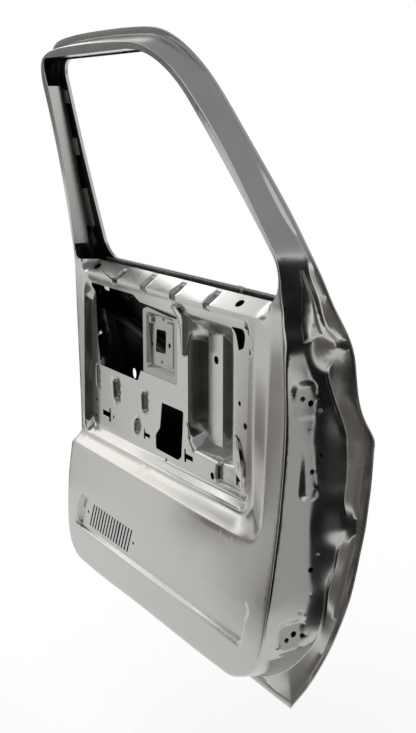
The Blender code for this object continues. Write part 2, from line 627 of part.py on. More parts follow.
class SideWall:
    """The side wall between two rows of EDGE: X by depth and height, with pressed seats and dishes."""

    def __init__(self, first, last, flare=None):
        self.flare = flare
        run = list(range(station(first), station(last) + 1))
        self.stations = run
        self.inner = wall_start[run]
        self.outer = ridge_line[run]
        self.seats = []
        self.dishes = []

    def slope(self, y, z):
        """X of the plain wall, which may be nearly flat at first and then flare out to the ridge."""
        sides = []
        for line in (self.inner, self.outer):
            order = np.argsort(line[:, 2])
            high = line[order, 2]
            sides.append((np.interp(z, high, line[order, 0]), np.interp(z, high, line[order, 1])))
        (x0, y0), (x1, y1) = sides
        ruled = x0 + (x1 - x0) * (y - y0) / (y1 - y0)
        if self.flare is None:
            return ruled
        fold_y = y1 - smooth_keys(self.flare, z)
        fold_x = x0 + SEAT_SLANT * (fold_y - y0)
        flared = fold_x + (x1 - fold_x) * (y - fold_y) / (y1 - fold_y)
        folded = np.where(y > fold_y, flared, x0 + SEAT_SLANT * (y - y0))
        rise = np.clip((z - FLARE_ENDS[0]) / (FLARE_ENDS[1] - FLARE_ENDS[0]), 0.0, 1.0)
        fall = np.clip((FLARE_ENDS[3] - z) / (FLARE_ENDS[3] - FLARE_ENDS[2]), 0.0, 1.0)
        return ruled + (folded - ruled) * rise * fall

    def fold_line(self):
        """The line, at some depths and heights, where the wall starts to flare out to the ridge."""
        order = np.argsort(self.outer[:, 2])
        line = []
        for z in np.linspace(FLARE_ENDS[0] + 0.01, FLARE_ENDS[3] - 0.01, 20):
            far = float(np.interp(z, self.outer[order, 2], self.outer[order, 1]))
            line.append((far - float(smooth_keys(self.flare, z)), float(z)))
        return line

    def seat(self, centre, size, slant, lift=0.0):
        """Add a flat seat round a centre; gives its plane as (centre point, slant)."""
        press = pressed(box_outline(centre, (size[0] / 2, size[1] / 2)), 0.010, 0.005, 1.0)
        x = float(self.slope(centre[0], centre[1])) + lift
        self.seats.append((press, x, centre[0], slant))
        return Vector((x, centre[0], centre[1])), slant

    def x(self, y, z):
        depth = self.slope(y, z)
        for press, seat_x, seat_y, slant in self.seats:
            share_in = press(y, z)
            depth = depth * (1 - share_in) + (seat_x + slant * (y - seat_y)) * share_in
        for dish in self.dishes:
            depth = depth + dish(y, z)
        return depth

    def lift(self, y, z):
        return np.column_stack([self.x(y, z), y, z])

    def outline(self):
        edge = [(p[1], p[2]) for p in self.inner] + [(p[1], p[2]) for p in self.outer[::-1]]
        return edge

    def blank(self, holes, grid):
        breaks = []
        for press in [s[0] for s in self.seats] + self.dishes:
            breaks.append((press.outer, True))
            breaks.append((press.inner, True))
        if self.flare is not None:
            breaks.append((self.fold_line(), False))
        return blank(self.outline(), holes, breaks, self.lift, grid)


front_wall = SideWall(row_at(-0.012, 0.082), row_at(-0.019, 0.858), FLARE_WIDTH)
rear_wall = SideWall(row_at(-0.954, 0.780), row_at(-0.942, 0.400))
upper_seat = front_wall.seat(UPPER_HINGE, HINGE_SEAT, SEAT_SLANT, 0.001)
lower_seat = front_wall.seat(LOWER_HINGE, HINGE_SEAT, SEAT_SLANT, 0.001)
check_seat = front_wall.seat(CHECK_STRAP, CHECK_SEAT, SEAT_SLANT, 0.001)
latch_seat = rear_wall.seat(LATCH, LATCH_SEAT, -0.10, 0.0)
bead = [(0.0295, 0.700), (0.054, 0.722), (0.045, 0.785), (0.0345, 0.838), (0.029, 0.836), (0.0275, 0.765)]
front_wall.dishes.append(pressed(bead, 0.003, 0.0028, -0.004, 1))

upper_bolts = [(0.0260, 0.6007), (0.0619, 0.6002)]
lower_bolts = [(0.0102, 0.1197), (0.0464, 0.1217)]
check_bolts = [(0.0480, 0.4587), (0.0594, 0.4259)]
latch_bolts = [(0.020, 0.568), (0.062, 0.568), (0.042, 0.498)]
front_holes = [circle(y, z, BOLT_HOLE_RADIUS) for y, z in upper_bolts + lower_bolts + check_bolts]
upper_pin = (0.0445, 0.5905, 0.0065)
lower_pin = (0.0264, 0.1286, 0.0065)
check_pin = (0.0653, 0.4901, 0.0030)
front_holes += [circle(*pin) for pin in (upper_pin, lower_pin, check_pin)]
front_holes.append(circle(0.0555, 0.2593, BOLT_HOLE_RADIUS))
latch_hole = box_outline(LATCH, (LATCH_OPENING[0] / 2, LATCH_OPENING[1] / 2), 0.006)
rear_holes = [latch_hole] + [circle(y, z, 0.0045) for y, z in latch_bolts]

breaks = []
for press in presses:
    breaks.append((press.outer, True))
    breaks.append((press.inner, True))
REAR_LIMIT = -0.918
border_start = (REAR_LIMIT, RECESS_BOTTOM_Z - BORDER_DROP)
breaks.append(([border_start] + border_edge[1:7] + [(-0.035, WAIST_Z - 0.021)], False))
breaks.append(([(x, recess_low(x) - 0.003) for x in (REAR_LIMIT + 0.004, FRONT_LIMIT)], False))
block_reach = (BLOCK_DEPTH - RECESS_DEPTH) / POCKET_DEPTH
block_low = POCKET_LOW_Z + POCKET_WALLS[0] * block_reach
block_high = POCKET_HIGH_Z - POCKET_WALLS[2] * block_reach
breaks.append((block.outer, True))
breaks.append((block.inner, True))
for z in (block_low, block_high):
    breaks.append(([(-0.371, z), (-0.310, z)], False))
breaks.append(([(-0.112, RECESS_BOTTOM_Z + 0.045), (-0.112, WAIST_Z - 0.021)], False))
breaks.append(([(x, WAIST_Z) for x in (-0.925, LEDGE_ENDS[1], LEDGE_ENDS[2], -0.040)], False))


def face_lift(x, z):
    return np.column_stack([x, face_y(x, z), z])


def skin_lift(x, z):
    return np.column_stack([x, outer_y(x, z), z])


def wall_quads(stations_cut):
    """Quads of the side wall where it has no seats, between the corner and the ridge."""
    count = len(ridge)
    quads = []
    for i in range(count):
        if i in stations_cut and i + 1 in stations_cut:
            continue
        j = (i + 1) % count
        quads.append((i, j, count + j, count + i))
    return np.concatenate([wall_start, ridge_line]), quads


panel_parts = [blank([tuple(p) for p in face_start], openings, breaks, face_lift, 0.055),
               (np.concatenate(corner_rings), rings_face(corner_rings, 0)),
               wall_quads(front_wall.stations + rear_wall.stations),
               front_wall.blank(front_holes, 0.040), rear_wall.blank(rear_holes, 0.060),
               (np.concatenate(flange_rings), rings_face(flange_rings, 0))]
inner_panel = sheet("inner_panel", panel_parts, INNER_SHEET, steel("inner_panel", STEEL))

# Outer skin: face with window and handle cup, window lip, and the hem folded round the panel's flange
HANDLE_Z = WAIST_Z - 0.037
CUP_DEPTH = 0.014
CUP_HALF = (0.081, 0.035)
cup_middle = (-0.871, HANDLE_Z)
handle_cup = pressed(box_outline(cup_middle, CUP_HALF), 0.020, CUP_DEPTH, -CUP_DEPTH, 3)


def outer_y(x, z):
    return skin_y(x, z) + handle_cup(x, z)


handle_slot = (-0.922, HANDLE_Z)
handle_screw = (-0.820, HANDLE_Z)
handle_holes = [box_outline(handle_slot, (0.014, 0.020), 0.005), circle(*handle_screw, 0.0055),
                circle(-0.874, 0.467, 0.009, 10, 1.5)]
fold_start = toward(hem_edge, ridge, FOLD_RADIUS)
fold_depth = skin_y(fold_start[:, 0], fold_start[:, 1]) - FOLD_RADIUS
hem_rings = []
for turn in range(5):
    angle = math.pi * turn / 4
    edge = toward(hem_edge, ridge, FOLD_RADIUS * (1 - math.sin(angle)))
    hem_rings.append(ring(edge, fold_depth + FOLD_RADIUS * math.cos(angle)))
leaf = toward(hem_edge, ridge, hem_width)
hem_rings.append(ring(leaf, skin_y(leaf[:, 0], leaf[:, 1]) - 2 * FOLD_RADIUS))
lip_line = np.array(skin_window)
lip_depth = skin_y(lip_line[:, 0], lip_line[:, 1])
lip_rings = [ring(lip_line, lip_depth), ring(lip_line, lip_depth - 0.007)]
skin_breaks = [([tuple(p) for p in hem_stop], True), (handle_cup.outer, True), (handle_cup.inner, True)]
skin_outline = [tuple(p) for p in fold_start]
skin_parts = [blank(skin_outline, [skin_window] + handle_holes, skin_breaks, skin_lift, 0.075),
              (np.concatenate(hem_rings), rings_face(hem_rings, 0)),
              (np.concatenate(lip_rings), rings_face(lip_rings, 0))]
outer_skin = sheet("outer_skin", skin_parts, SKIN_SHEET, steel("outer_skin", STEEL))


def strip(name, lines, thickness, mat, angle=35):
    """A folded strip through lines of points that run side by side."""
    return sheet(name, [(np.concatenate([np.array(l) for l in lines]),
                         rings_face([np.array(l) for l in lines], 0, False))], thickness, mat, angle)


def shifted(run, distance):
    """An open run of points moved sideways, away from the window (which lies on its left)."""
    pts = np.array(run, dtype=float)
    way = np.gradient(pts, axis=0)
    way = way / np.linalg.norm(way, axis=1)[:, None]
    return pts + np.column_stack([way[:, 1], -way[:, 0]]) * distance


def run_channel(name, run, tabs, reach=RUN_FOOT):
    """The strip that carries the glass seal: a lip behind the panel's window edge and a deep wall."""
    behind = INNER_SHEET / 2 + 1.7 * CLEARANCE + RAIL_SHEET / 2
    wall_line = shifted(run, RAIL_SHEET / 2)
    lip_end = shifted(run, RUN_LIP)
    base = face_y(wall_line[:, 0], wall_line[:, 1]) + behind
    back = face_y(lip_end[:, 0], lip_end[:, 1]) + behind
    deep = ring(wall_line, base + RUN_DEPTH)
    lines = [ring(lip_end, back), ring(wall_line, base), deep]
    count = len(run)
    points = np.concatenate(lines)
    faces = rings_face(lines, 0, False)
    at_skin = SKIN_SHEET / 2 + 2 * CLEARANCE + RAIL_SHEET / 2
    foot_line = shifted(run, -reach)
    top = ring(wall_line, skin_y(wall_line[:, 0], wall_line[:, 1]) - at_skin)
    foot = ring(foot_line, skin_y(foot_line[:, 0], foot_line[:, 1]) - at_skin)
    points = np.concatenate([points, top, foot])
    for i in range(count - 1):
        middle = (run[i][1] + run[i + 1][1]) / 2
        if any(window_z(low) < middle < window_z(high) for low, high in tabs):
            faces.append((2 * count + i, 2 * count + i + 1, 3 * count + i + 1, 3 * count + i))
            faces.append((3 * count + i, 3 * count + i + 1, 4 * count + i + 1, 4 * count + i))
    return sheet(name, [(points, faces)], RAIL_SHEET, steel(name, STEEL))


rear_slope = (-0.924 + 0.9435) / (WINDOW_TOP_Z - SILL_Z)


def rear_line(z):
    return (-0.9435 + (z - SILL_Z) * rear_slope, z)


rear_shares = sorted({share for tab in RUN_TABS for share in tab} | {0.075, 0.451, 0.702, 0.869})
rear_run = [rear_line(window_z(share)) for share in reversed(rear_shares)]
run_channel("rear_run_channel", rear_run, RUN_TABS)
front_run = [(leg_line(window_z(share)), window_z(share)) for share in (0.305, 0.378, 0.451, 0.534, 0.618)]
run_channel("front_run_channel", front_run, ((0.300, 0.380), (0.530, 0.620)))
top_run = spaced(part_of(window, lambda p: p[1] > window_z(0.670) and p[0] > -0.895), 0.12)
run_channel("top_run_channel", top_run, ((0.680, 0.785),), 0.005)

# Rails on both sides of the glass slot
rail_xs = np.linspace(OUTER_RAIL_XS[0], OUTER_RAIL_XS[1], 9)
to_skin = SKIN_SHEET / 2 + 2 * CLEARANCE + RAIL_SHEET / 2
skin_top = SKIN_SILL_Z - 0.004


def beside_skin(z):
    return [(x, float(skin_y(x, z)) - to_skin, z) for x in rail_xs]


outer_rail_lines = [beside_skin(skin_top), beside_skin(OUTER_RAIL_FOOT_Z + 0.006),
                    [(x, float(skin_y(x, OUTER_RAIL_FOOT_Z)) - 0.007, OUTER_RAIL_FOOT_Z) for x in rail_xs],
                    [(x, OUTER_RAIL_Y + 0.003, OUTER_RAIL_FOOT_Z) for x in rail_xs],
                    [(x, OUTER_RAIL_Y, OUTER_RAIL_FOOT_Z + 0.004) for x in rail_xs],
                    [(x, OUTER_RAIL_Y, SKIN_SILL_Z) for x in rail_xs]]
outer_rail = strip("outer_waist_rail", outer_rail_lines, RAIL_SHEET, steel("outer_waist_rail", STEEL))
rail_hole_xs = (-0.757, -0.620, -0.470, -0.318, -0.158)
rail_hole_prisms = [((x, OUTER_RAIL_Y, SILL_Z - 0.007), (0, 1, 0), 0.004, 0.010, 8) for x in rail_hole_xs]
cut(outer_rail, prism_tool("rail_holes", rail_hole_prisms))
bracket_y = OUTER_RAIL_Y - RAIL_SHEET - CLEARANCE
bracket_xs = (-0.252, -0.238)
bracket_lines = []
bracket_folds = ((bracket_y, OUTER_RAIL_FOOT_Z + 0.007), (bracket_y, SKIN_SILL_Z + 0.004),
                 (bracket_y - 0.006, SKIN_SILL_Z + 0.006))
for y, z in bracket_folds:
    bracket_lines.append([(x, y, z) for x in bracket_xs])
strip("waist_rail_bracket", bracket_lines, RAIL_SHEET, steel("waist_rail_bracket", PLATE_STEEL))

# Inner rail: an upright strip under the ledge's back edge
ledge_xs = np.linspace(LEDGE_ENDS[1] + 0.012, LEDGE_ENDS[2] - 0.012, 5)
inner_rail_lines = []
for y, z in ((LEDGE_DEPTH - 0.0015, SILL_Z - 0.0031), (LEDGE_DEPTH - 0.0015, WAIST_Z - 0.018),
             (LEDGE_DEPTH - 0.004, WAIST_Z - 0.022), (LEDGE_DEPTH - 0.012, WAIST_Z - 0.023)):
    inner_rail_lines.append([(x, y, z) for x in ledge_xs])
strip("inner_waist_rail", inner_rail_lines, RAIL_SHEET, steel("inner_waist_rail", STEEL))

# Plates behind the seats of the side walls, each with the nuts welded on its back
def seat_frame(seat):
    """Turn and place of a seat: local X along the wall's depth, local Y up, local Z into the cavity."""
    point, slant = seat
    across = Vector((slant, 1.0, 0.0)).normalized()
    up = Vector((0.0, 0.0, 1.0))
    inward = up.cross(across)
    return point, across, up, inward


def seat_plate(name, seat, size, holes, side=1):
    """A flat plate behind a seat. Holes are (depth, height, radius) in the door's own frame."""
    point, across, up, inward = seat_frame(seat)
    inward = inward * side
    middle = INNER_SHEET / 2 + CLEARANCE + PLATE_SHEET / 2
    corners = rounded([(-size[0] / 2, -size[1] / 2), (size[0] / 2, -size[1] / 2), (size[0] / 2, size[1] / 2),
                       (-size[0] / 2, size[1] / 2)], 0.008, 2)
    loops = []
    for y, z, radius in holes:
        loops.append(circle((y - point.y) / across.y, z - point.z, radius, 10))

    def lift(u, v):
        return np.array([point + across * float(a) + up * float(b) + inward * middle for a, b in zip(u, v)])

    return sheet(name, [blank(corners, loops, [], lift)], PLATE_SHEET, steel(name, PLATE_STEEL))


def weld_nut(name, seat, y, z, side=1):
    """A hexagon weld nut on the back of a seat's plate, in line with a bolt hole."""
    point, across, up, inward = seat_frame(seat)
    inward = inward * side
    near = INNER_SHEET / 2 + PLATE_SHEET + 2 * CLEARANCE
    centre = point + across * ((y - point.y) / across.y) + up * (z - point.z)
    build = bmesh.new()
    rows = []
    for depth in (near, near + NUT_HEIGHT):
        for radius in (NUT_WIDTH / 2, NUT_BORE_RADIUS):
            row = []
            for k in range(12):
                turn = 2 * math.pi * k / 12
                reach = radius
                if radius > NUT_BORE_RADIUS and k % 2:
                    reach = radius * math.cos(math.pi / 6)
                place = centre + inward * depth
                place += across * (reach * math.cos(turn)) + up * (reach * math.sin(turn))
                row.append(build.verts.new(place))
            rows.append(row)
    for a, b in ((0, 1), (1, 3), (3, 2), (2, 0)):
        for k in range(12):
            n = (k + 1) % 12
            build.faces.new([rows[a][k], rows[a][n], rows[b][n], rows[b][k]])
    bmesh.ops.recalc_face_normals(build, faces=build.faces)
    bmesh.ops.triangulate(build, faces=build.faces)
    mesh = bpy.data.meshes.new(name)
    build.to_mesh(mesh)
    build.free()
    mesh.materials.append(steel(name, ZINC, 0.45))
    nut = bpy.data.objects.new(name, mesh)
    bpy.context.scene.collection.objects.link(nut)


bolt = BOLT_HOLE_RADIUS
plate_size = (HINGE_SEAT[0] - 0.014, HINGE_SEAT[1] - 0.014)
seat_plate("upper_hinge_plate", upper_seat, plate_size,
           [(y, z, bolt) for y, z in upper_bolts] + [upper_pin])
seat_plate("lower_hinge_plate", lower_seat, plate_size,
           [(y, z, bolt) for y, z in lower_bolts] + [lower_pin])
check_size = (CHECK_SEAT[0] - 0.014, CHECK_SEAT[1] - 0.014)
seat_plate("check_strap_plate", check_seat, check_size,
           [(y, z, bolt) for y, z in check_bolts] + [check_pin])
latch_size = (LATCH_SEAT[0] - 0.014, LATCH_SEAT[1] - 0.014)
latch_plate = seat_plate("latch_plate", latch_seat, latch_size, [(y, z, 0.0045) for y, z in latch_bolts], -1)
cut(latch_plate, prism_tool("latch_opening", [(latch_seat[0], (1, 0, 0), 0.024, 0.060, 16)]))
for group, seat, bolts, side in (("upper_hinge_nut", upper_seat, upper_bolts, 1),
                                 ("lower_hinge_nut", lower_seat, lower_bolts, 1),
                                 ("check_strap_nut", check_seat, check_bolts, 1),
                                 ("latch_nut", latch_seat, latch_bolts, -1)):
    for number, (y, z) in enumerate(bolts, 1):
        weld_nut(f"{group}_{number}", seat, y, z, side)


def tube(name, start, end, radius, wall, mat, count=14):
    """A straight tube, open at both ends."""
    way = (Vector(end) - Vector(start)).normalized()
    side = way.cross(Vector((0, 0, 1))).normalized()
    top = side.cross(way)
    reach = radius - wall / 2
    turns = [2 * math.pi * k / count for k in range(count)]
    lines = []
    for place in (start, end):
        centre = Vector(place)
        lines.append([centre + side * (reach * math.cos(t)) + top * (reach * math.sin(t)) for t in turns])
    points = np.array([tuple(p) for l in lines for p in l])
    return sheet(name, [(points, rings_face(lines, 0))], wall, mat, 50)


# Side impact beam, welded at each end to a bracket on the side wall
beam_gap = 0.0011 + INNER_SHEET / 2 + PLATE_SHEET / 2
beam_short = beam_gap + PLATE_SHEET / 2 + CLEARANCE + 0.55 * BEAM_RADIUS
beam_rear = (float(rear_wall.x(*[np.array([v]) for v in BEAM_REAR])[0]) + beam_short, *BEAM_REAR)
beam_side = (BEAM_FRONT[0] - BEAM_RADIUS, BEAM_FRONT[1])
beam_front = (float(front_wall.x(*[np.array([v]) for v in beam_side])[0]) - beam_short, *BEAM_FRONT)
beam_steel = steel("side_impact_beam", PLATE_STEEL)
tube("side_impact_beam", beam_rear, beam_front, BEAM_RADIUS, BEAM_WALL, beam_steel)
beam_lean = (beam_front[1] - beam_rear[1]) / (beam_front[0] - beam_rear[0])


def beam_bracket(name, side_wall, end, direction, low, high):
    """A plate on the side wall, bent to an arm that runs along the inboard side of the beam."""
    y = end[1] - BEAM_RADIUS - PLATE_SHEET / 2 - CLEARANCE
    far = end[1] - 0.005
    zs = np.array([end[2] + low, end[2], end[2] + high])
    lines = []
    for place_y in (far, (far + y) / 2, y + 0.004):
        place_x = side_wall.x(np.full(3, place_y), zs) - direction * beam_gap
        lines.append([(float(px), place_y, float(pz)) for px, pz in zip(place_x, zs)])
    for step_x in (0.004, 0.030):
        place_x = lines[2][1][0] - direction * step_x
        lines.append([(place_x, y - direction * beam_lean * step_x, float(pz)) for pz in zs])
    return strip(name, lines, PLATE_SHEET, steel(name, PLATE_STEEL))


beam_bracket("beam_rear_bracket", rear_wall, beam_rear, -1, -0.010, 0.026)
beam_bracket("beam_front_bracket", front_wall, beam_front, 1, -0.012, 0.040)

# Plate behind the skin's handle cup
behind_cup = CUP_DEPTH + SKIN_SHEET / 2 + CLEARANCE + RAIL_SHEET / 2
handle_plate_half = (CUP_HALF[0] - 0.009, CUP_HALF[1] - 0.005)
handle_outline = box_outline((cup_middle[0] - 0.001, HANDLE_Z), handle_plate_half, 0.006)


def handle_plate_lift(x, z):
    return np.column_stack([x, skin_y(x, z) - behind_cup - 0.0004, z])


handle_plate_holes = [box_outline(handle_slot, (0.015, 0.021)), circle(*handle_screw, 0.0055)]
sheet("outer_handle_plate", [blank(handle_outline, handle_plate_holes, [], handle_plate_lift, 0.030)],
      RAIL_SHEET, steel("outer_handle_plate", PLATE_STEEL))

# Bracket of the inner handle, behind the front part of the big access opening
bracket_depth = RECESS_DEPTH + INNER_SHEET / 2 + CLEARANCE + RAIL_SHEET / 2
handle_window = rounded([(-0.579, 0.585), (-0.530, 0.587), (-0.526, 0.640), (-0.573, 0.638)], 0.003, 1)
handle_dish = pressed(box_outline((-0.538, 0.6105), (0.068, 0.0655)), 0.010, 0.008, 0.010)
handle_boss = pressed(box_outline((-0.593, 0.658), (0.007, 0.010)), 0.005, 0.003, -0.006)
handle_step = pressed(box_outline((-0.501, 0.612), (0.019, 0.052)), 0.006, 0.004, -0.006)
handle_presses = [handle_dish, handle_boss, handle_step]


def handle_lift(x, z):
    depth = np.full(len(x), bracket_depth)
    for press in handle_presses:
        depth = depth + press(x, z)
    return np.column_stack([x, depth, z])


handle_breaks = []
for press in handle_presses:
    handle_breaks += [(press.outer, True), (press.inner, True)]
bracket_corners = [(-0.622, 0.523), (-0.447, 0.523), (-0.447, 0.678), (-0.500, 0.678), (-0.600, 0.686),
                   (-0.622, 0.678)]
bracket_outline = rounded(bracket_corners, 0.004, 1)
bracket_holes = [handle_window, circle(-0.593, 0.600, 0.004, 6), circle(-0.540, 0.664, 0.004, 6),
                 circle(-0.548, 0.566, 0.004, 6), circle(-0.500, 0.612, 0.006, 8)]
sheet("inner_handle_bracket", [blank(bracket_outline, bracket_holes, handle_breaks, handle_lift)], RAIL_SHEET,
      steel("inner_handle_bracket", PLATE_STEEL))

# Upright guide bracket at the front of the trim recess: a plate with two slots that tilts off the floor
foot_y = RECESS_DEPTH - INNER_SHEET / 2 - CLEARANCE - RAIL_SHEET / 2
blade_rear_x = -0.2115
blade_outline = [(blade_rear_x, 0.403), (-0.181, 0.391), (-0.181, 0.374), (-0.172, 0.376), (-0.172, 0.4035),
                 (-0.1977, 0.4723), (-0.2105, 0.479)]
leaning_slot = [(0.001, -0.008), (0.005, -0.008), (-0.001, 0.008), (-0.005, 0.008)]
blade_slots = [[(x + u, z + v) for u, v in leaning_slot] for x, z in ((-0.199, 0.459), (-0.1885, 0.420))]


def blade_lift(x, z):
    return np.column_stack([x, foot_y - 0.15 * (x - blade_rear_x), z])


sheet("front_guide_bracket", [blank(blade_outline, blade_slots, [], blade_lift)], RAIL_SHEET,
      steel("front_guide_bracket", ZINC))


def guide(name, x, y, low, high, lean):
    """An upright channel that leads the glass, open towards the glass."""
    lines = []
    half = GUIDE_WIDTH / 2
    turn = 1 if x < -0.5 else -1
    for side_x, side_y in ((GUIDE_DEPTH, -half), (0.0, -half), (0.0, half), (GUIDE_DEPTH, half)):
        rows = [(x + turn * side_x + lean * k, y + side_y, low + (high - low) * k) for k in (0.0, 0.5, 1.0)]
        lines.append(rows)
    return strip(name, lines, RAIL_SHEET, steel(name, STEEL), 30)


guide("rear_glass_guide", -0.9405, 0.047, 0.605, WAIST_Z + 0.050, 0.0)
guide("front_glass_guide", -0.062, 0.050, 0.225, 0.700, -0.020)

# Brackets that hold the guides' lower ends: the rear one on the rear wall, the front one on the face
guide_ys = np.array([0.036, 0.047, 0.058])
sheet_gap = INNER_SHEET / 2 + RAIL_SHEET / 2 + 3 * CLEARANCE
beside_guide = -0.9405 - RAIL_SHEET - CLEARANCE
rear_lines = []
for z in (WAIST_Z - 0.036, WAIST_Z - 0.064):
    wall_x = rear_wall.x(guide_ys, np.full(3, z)) + sheet_gap - CLEARANCE * 2
    rear_lines.append([(float(x), float(y), z) for x, y in zip(wall_x, guide_ys)])
for z in (WAIST_Z - 0.076, WAIST_Z - 0.116):
    rear_lines.append([(beside_guide, float(y), z) for y in guide_ys])
strip("rear_guide_foot", rear_lines, RAIL_SHEET, steel("rear_guide_foot", STEEL))
beside_guide = 0.050 - GUIDE_WIDTH / 2 - RAIL_SHEET - CLEARANCE
front_xs = (-0.078, -0.064, -0.050)
front_lines = []
for z in (0.268, 0.242):
    front_lines.append([(x, float(face_y(x, z)) + sheet_gap, z) for x in front_xs])
for z in (0.236, 0.268):
    front_lines.append([(x, beside_guide, z) for x in front_xs])
strip("front_guide_foot", front_lines, RAIL_SHEET, steel("front_guide_foot", STEEL))

# The origin is on the upper hinge seat's outer face, above the middle bolt hole
seat_point, seat_slant = upper_seat
mount = Vector((seat_point.x, UPPER_HINGE[0] + 0.0005, UPPER_HINGE[1] + MOUNT_RISE))
mount.x += seat_slant * (mount.y - seat_point.y)
mount += Vector((1.0, -seat_slant, 0.0)).normalized() * (INNER_SHEET / 2)
for thing in bpy.data.objects:
    thing.data.transform(Matrix.Translation(-mount))
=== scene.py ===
import math

import bmesh
import bpy
import numpy as np
from mathutils import Matrix, Vector, geometry, kdtree


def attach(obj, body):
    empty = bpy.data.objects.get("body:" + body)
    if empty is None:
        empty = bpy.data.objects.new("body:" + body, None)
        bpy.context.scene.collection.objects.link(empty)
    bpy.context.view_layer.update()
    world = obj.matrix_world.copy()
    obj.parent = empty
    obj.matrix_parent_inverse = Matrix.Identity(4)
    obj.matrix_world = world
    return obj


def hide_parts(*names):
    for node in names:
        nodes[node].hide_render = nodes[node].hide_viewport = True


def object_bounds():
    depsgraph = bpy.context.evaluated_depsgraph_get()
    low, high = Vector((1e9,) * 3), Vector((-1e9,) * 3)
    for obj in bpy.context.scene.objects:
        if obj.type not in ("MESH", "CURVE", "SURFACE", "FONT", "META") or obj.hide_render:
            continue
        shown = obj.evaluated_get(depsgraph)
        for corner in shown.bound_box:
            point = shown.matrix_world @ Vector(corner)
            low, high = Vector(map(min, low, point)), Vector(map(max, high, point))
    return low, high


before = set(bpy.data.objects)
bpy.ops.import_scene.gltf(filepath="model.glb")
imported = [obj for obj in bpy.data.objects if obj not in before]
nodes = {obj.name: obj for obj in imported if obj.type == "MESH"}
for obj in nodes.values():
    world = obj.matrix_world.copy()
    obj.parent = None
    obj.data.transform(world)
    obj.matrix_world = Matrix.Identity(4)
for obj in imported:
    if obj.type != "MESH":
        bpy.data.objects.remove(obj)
cad_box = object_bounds()


# The photograph's place: a long lens at eye height, ahead of the door and inboard of it, looking
# back at its inner side from the hinge end.
LENS_PIXELS = 1150.0
FRAME_PIXELS = 733.0
view = bpy.data.cameras.new("view")
view.sensor_fit = "VERTICAL"
view.sensor_height = 36.0
view.lens = view.sensor_height * LENS_PIXELS / FRAME_PIXELS
camera = bpy.data.objects.new("view", view)
camera.location = (1.68956, -1.19451, 0.4969)
camera.rotation_euler = (math.radians(77.8), 0.0, math.radians(60.0))
bpy.context.scene.collection.objects.link(camera)
bpy.context.scene.camera = camera
bpy.context.scene.view_settings.view_transform = "Standard"


# The studio: a white cove of even light. Bare steel mirrors what stands round it, so white softboxes
# and grey and black flags stand where the door's faces look, seen only in its mirrored rays.
def linear(code):
    """Linear light from an sRGB hex colour."""
    levels = [int(code[i:i + 2], 16) / 255 for i in (0, 2, 4)]
    return (*(c / 12.92 if c <= 0.04045 else ((c + 0.055) / 1.055) ** 2.4 for c in levels), 1.0)


def add(tree, kind, settings=(), links=()):
    """Add a node, set its sockets and attributes, and link its inputs."""
    node = tree.nodes.new(kind)
    for key, value in settings:
        if isinstance(key, str) and hasattr(node, key) and key not in node.inputs:
            setattr(node, key, value)
        else:
            node.inputs[key].default_value = value
    for key, source in links:
        tree.links.new(source, node.inputs[key])
    return node


def seen_or_mirrored(tree):
    """1 for a ray from the camera, or one mirrored or sent through glass, and 0 for other rays."""
    rays = add(tree, "ShaderNodeLightPath")
    both = add(tree, "ShaderNodeMath", [("operation", "MAXIMUM")],
               [(0, rays.outputs["Is Camera Ray"]), (1, rays.outputs["Is Glossy Ray"])])
    every = add(tree, "ShaderNodeMath", [("operation", "MAXIMUM")],
                [(0, both.outputs[0]), (1, rays.outputs["Is Transmission Ray"])])
    return every.outputs[0]


world = bpy.data.worlds.new("studio")
bpy.context.scene.world = world
world.use_nodes = True
sky = world.node_tree
sky.nodes.clear()
room = add(sky, "ShaderNodeBackground", [("Color", linear("ffffff")), ("Strength", 1.0)])
cove = add(sky, "ShaderNodeBackground", [("Color", linear("ffffff")), ("Strength", 1.0)])
lit = add(sky, "ShaderNodeMixShader", [],
          [(0, seen_or_mirrored(sky)), (1, room.outputs[0]), (2, cove.outputs[0])])
add(sky, "ShaderNodeOutputWorld", [], [("Surface", lit.outputs[0])])

DOOR_MIDDLE = Vector((-0.472, -0.04, 0.0))


def card(name, toward, distance, size, colour, strength, soft=0.25):
    """A softbox or flag that faces the door from one direction, with edges that fade out."""
    mesh = bpy.data.meshes.new(name)
    build = bmesh.new()
    bmesh.ops.create_grid(build, x_segments=1, y_segments=1, size=0.5)
    build.to_mesh(mesh)
    build.free()
    thing = bpy.data.objects.new(name, mesh)
    way = Vector(toward).normalized()
    thing.location = DOOR_MIDDLE + way * distance
    thing.rotation_euler = way.to_track_quat("Z", "Y").to_euler()
    thing.scale = (size[0], size[1], 1.0)
    bpy.context.scene.collection.objects.link(thing)
    thing.visible_camera = False
    thing.visible_shadow = False
    thing.visible_diffuse = False
    mat = bpy.data.materials.new(name + "_cloth")
    mat.use_nodes = True
    tree = mat.node_tree
    tree.nodes.clear()
    place = add(tree, "ShaderNodeTexCoord").outputs["Object"]
    axes = add(tree, "ShaderNodeSeparateXYZ", [], [(0, place)])
    fades = []
    for axis, length in (("X", size[0]), ("Y", size[1])):
        off = add(tree, "ShaderNodeMath", [("operation", "ABSOLUTE")], [(0, axes.outputs[axis])])
        fades.append(add(tree, "ShaderNodeMapRange",
                         [("interpolation_type", "SMOOTHSTEP"), ("From Min", 0.5),
                          ("From Max", 0.5 - min(0.5, soft / length))],
                         [("Value", off.outputs[0])]).outputs["Result"])
    cover = add(tree, "ShaderNodeMath", [("operation", "MULTIPLY")], [(0, fades[0]), (1, fades[1])])
    glow = add(tree, "ShaderNodeEmission", [("Color", linear(colour)), ("Strength", strength)])
    clear = add(tree, "ShaderNodeBsdfTransparent")
    both = add(tree, "ShaderNodeMixShader", [],
               [(0, cover.outputs[0]), (1, clear.outputs[0]), (2, glow.outputs[0])])
    add(tree, "ShaderNodeOutputMaterial", [], [("Surface", both.outputs[0])])
    mesh.materials.append(mat)
    return thing


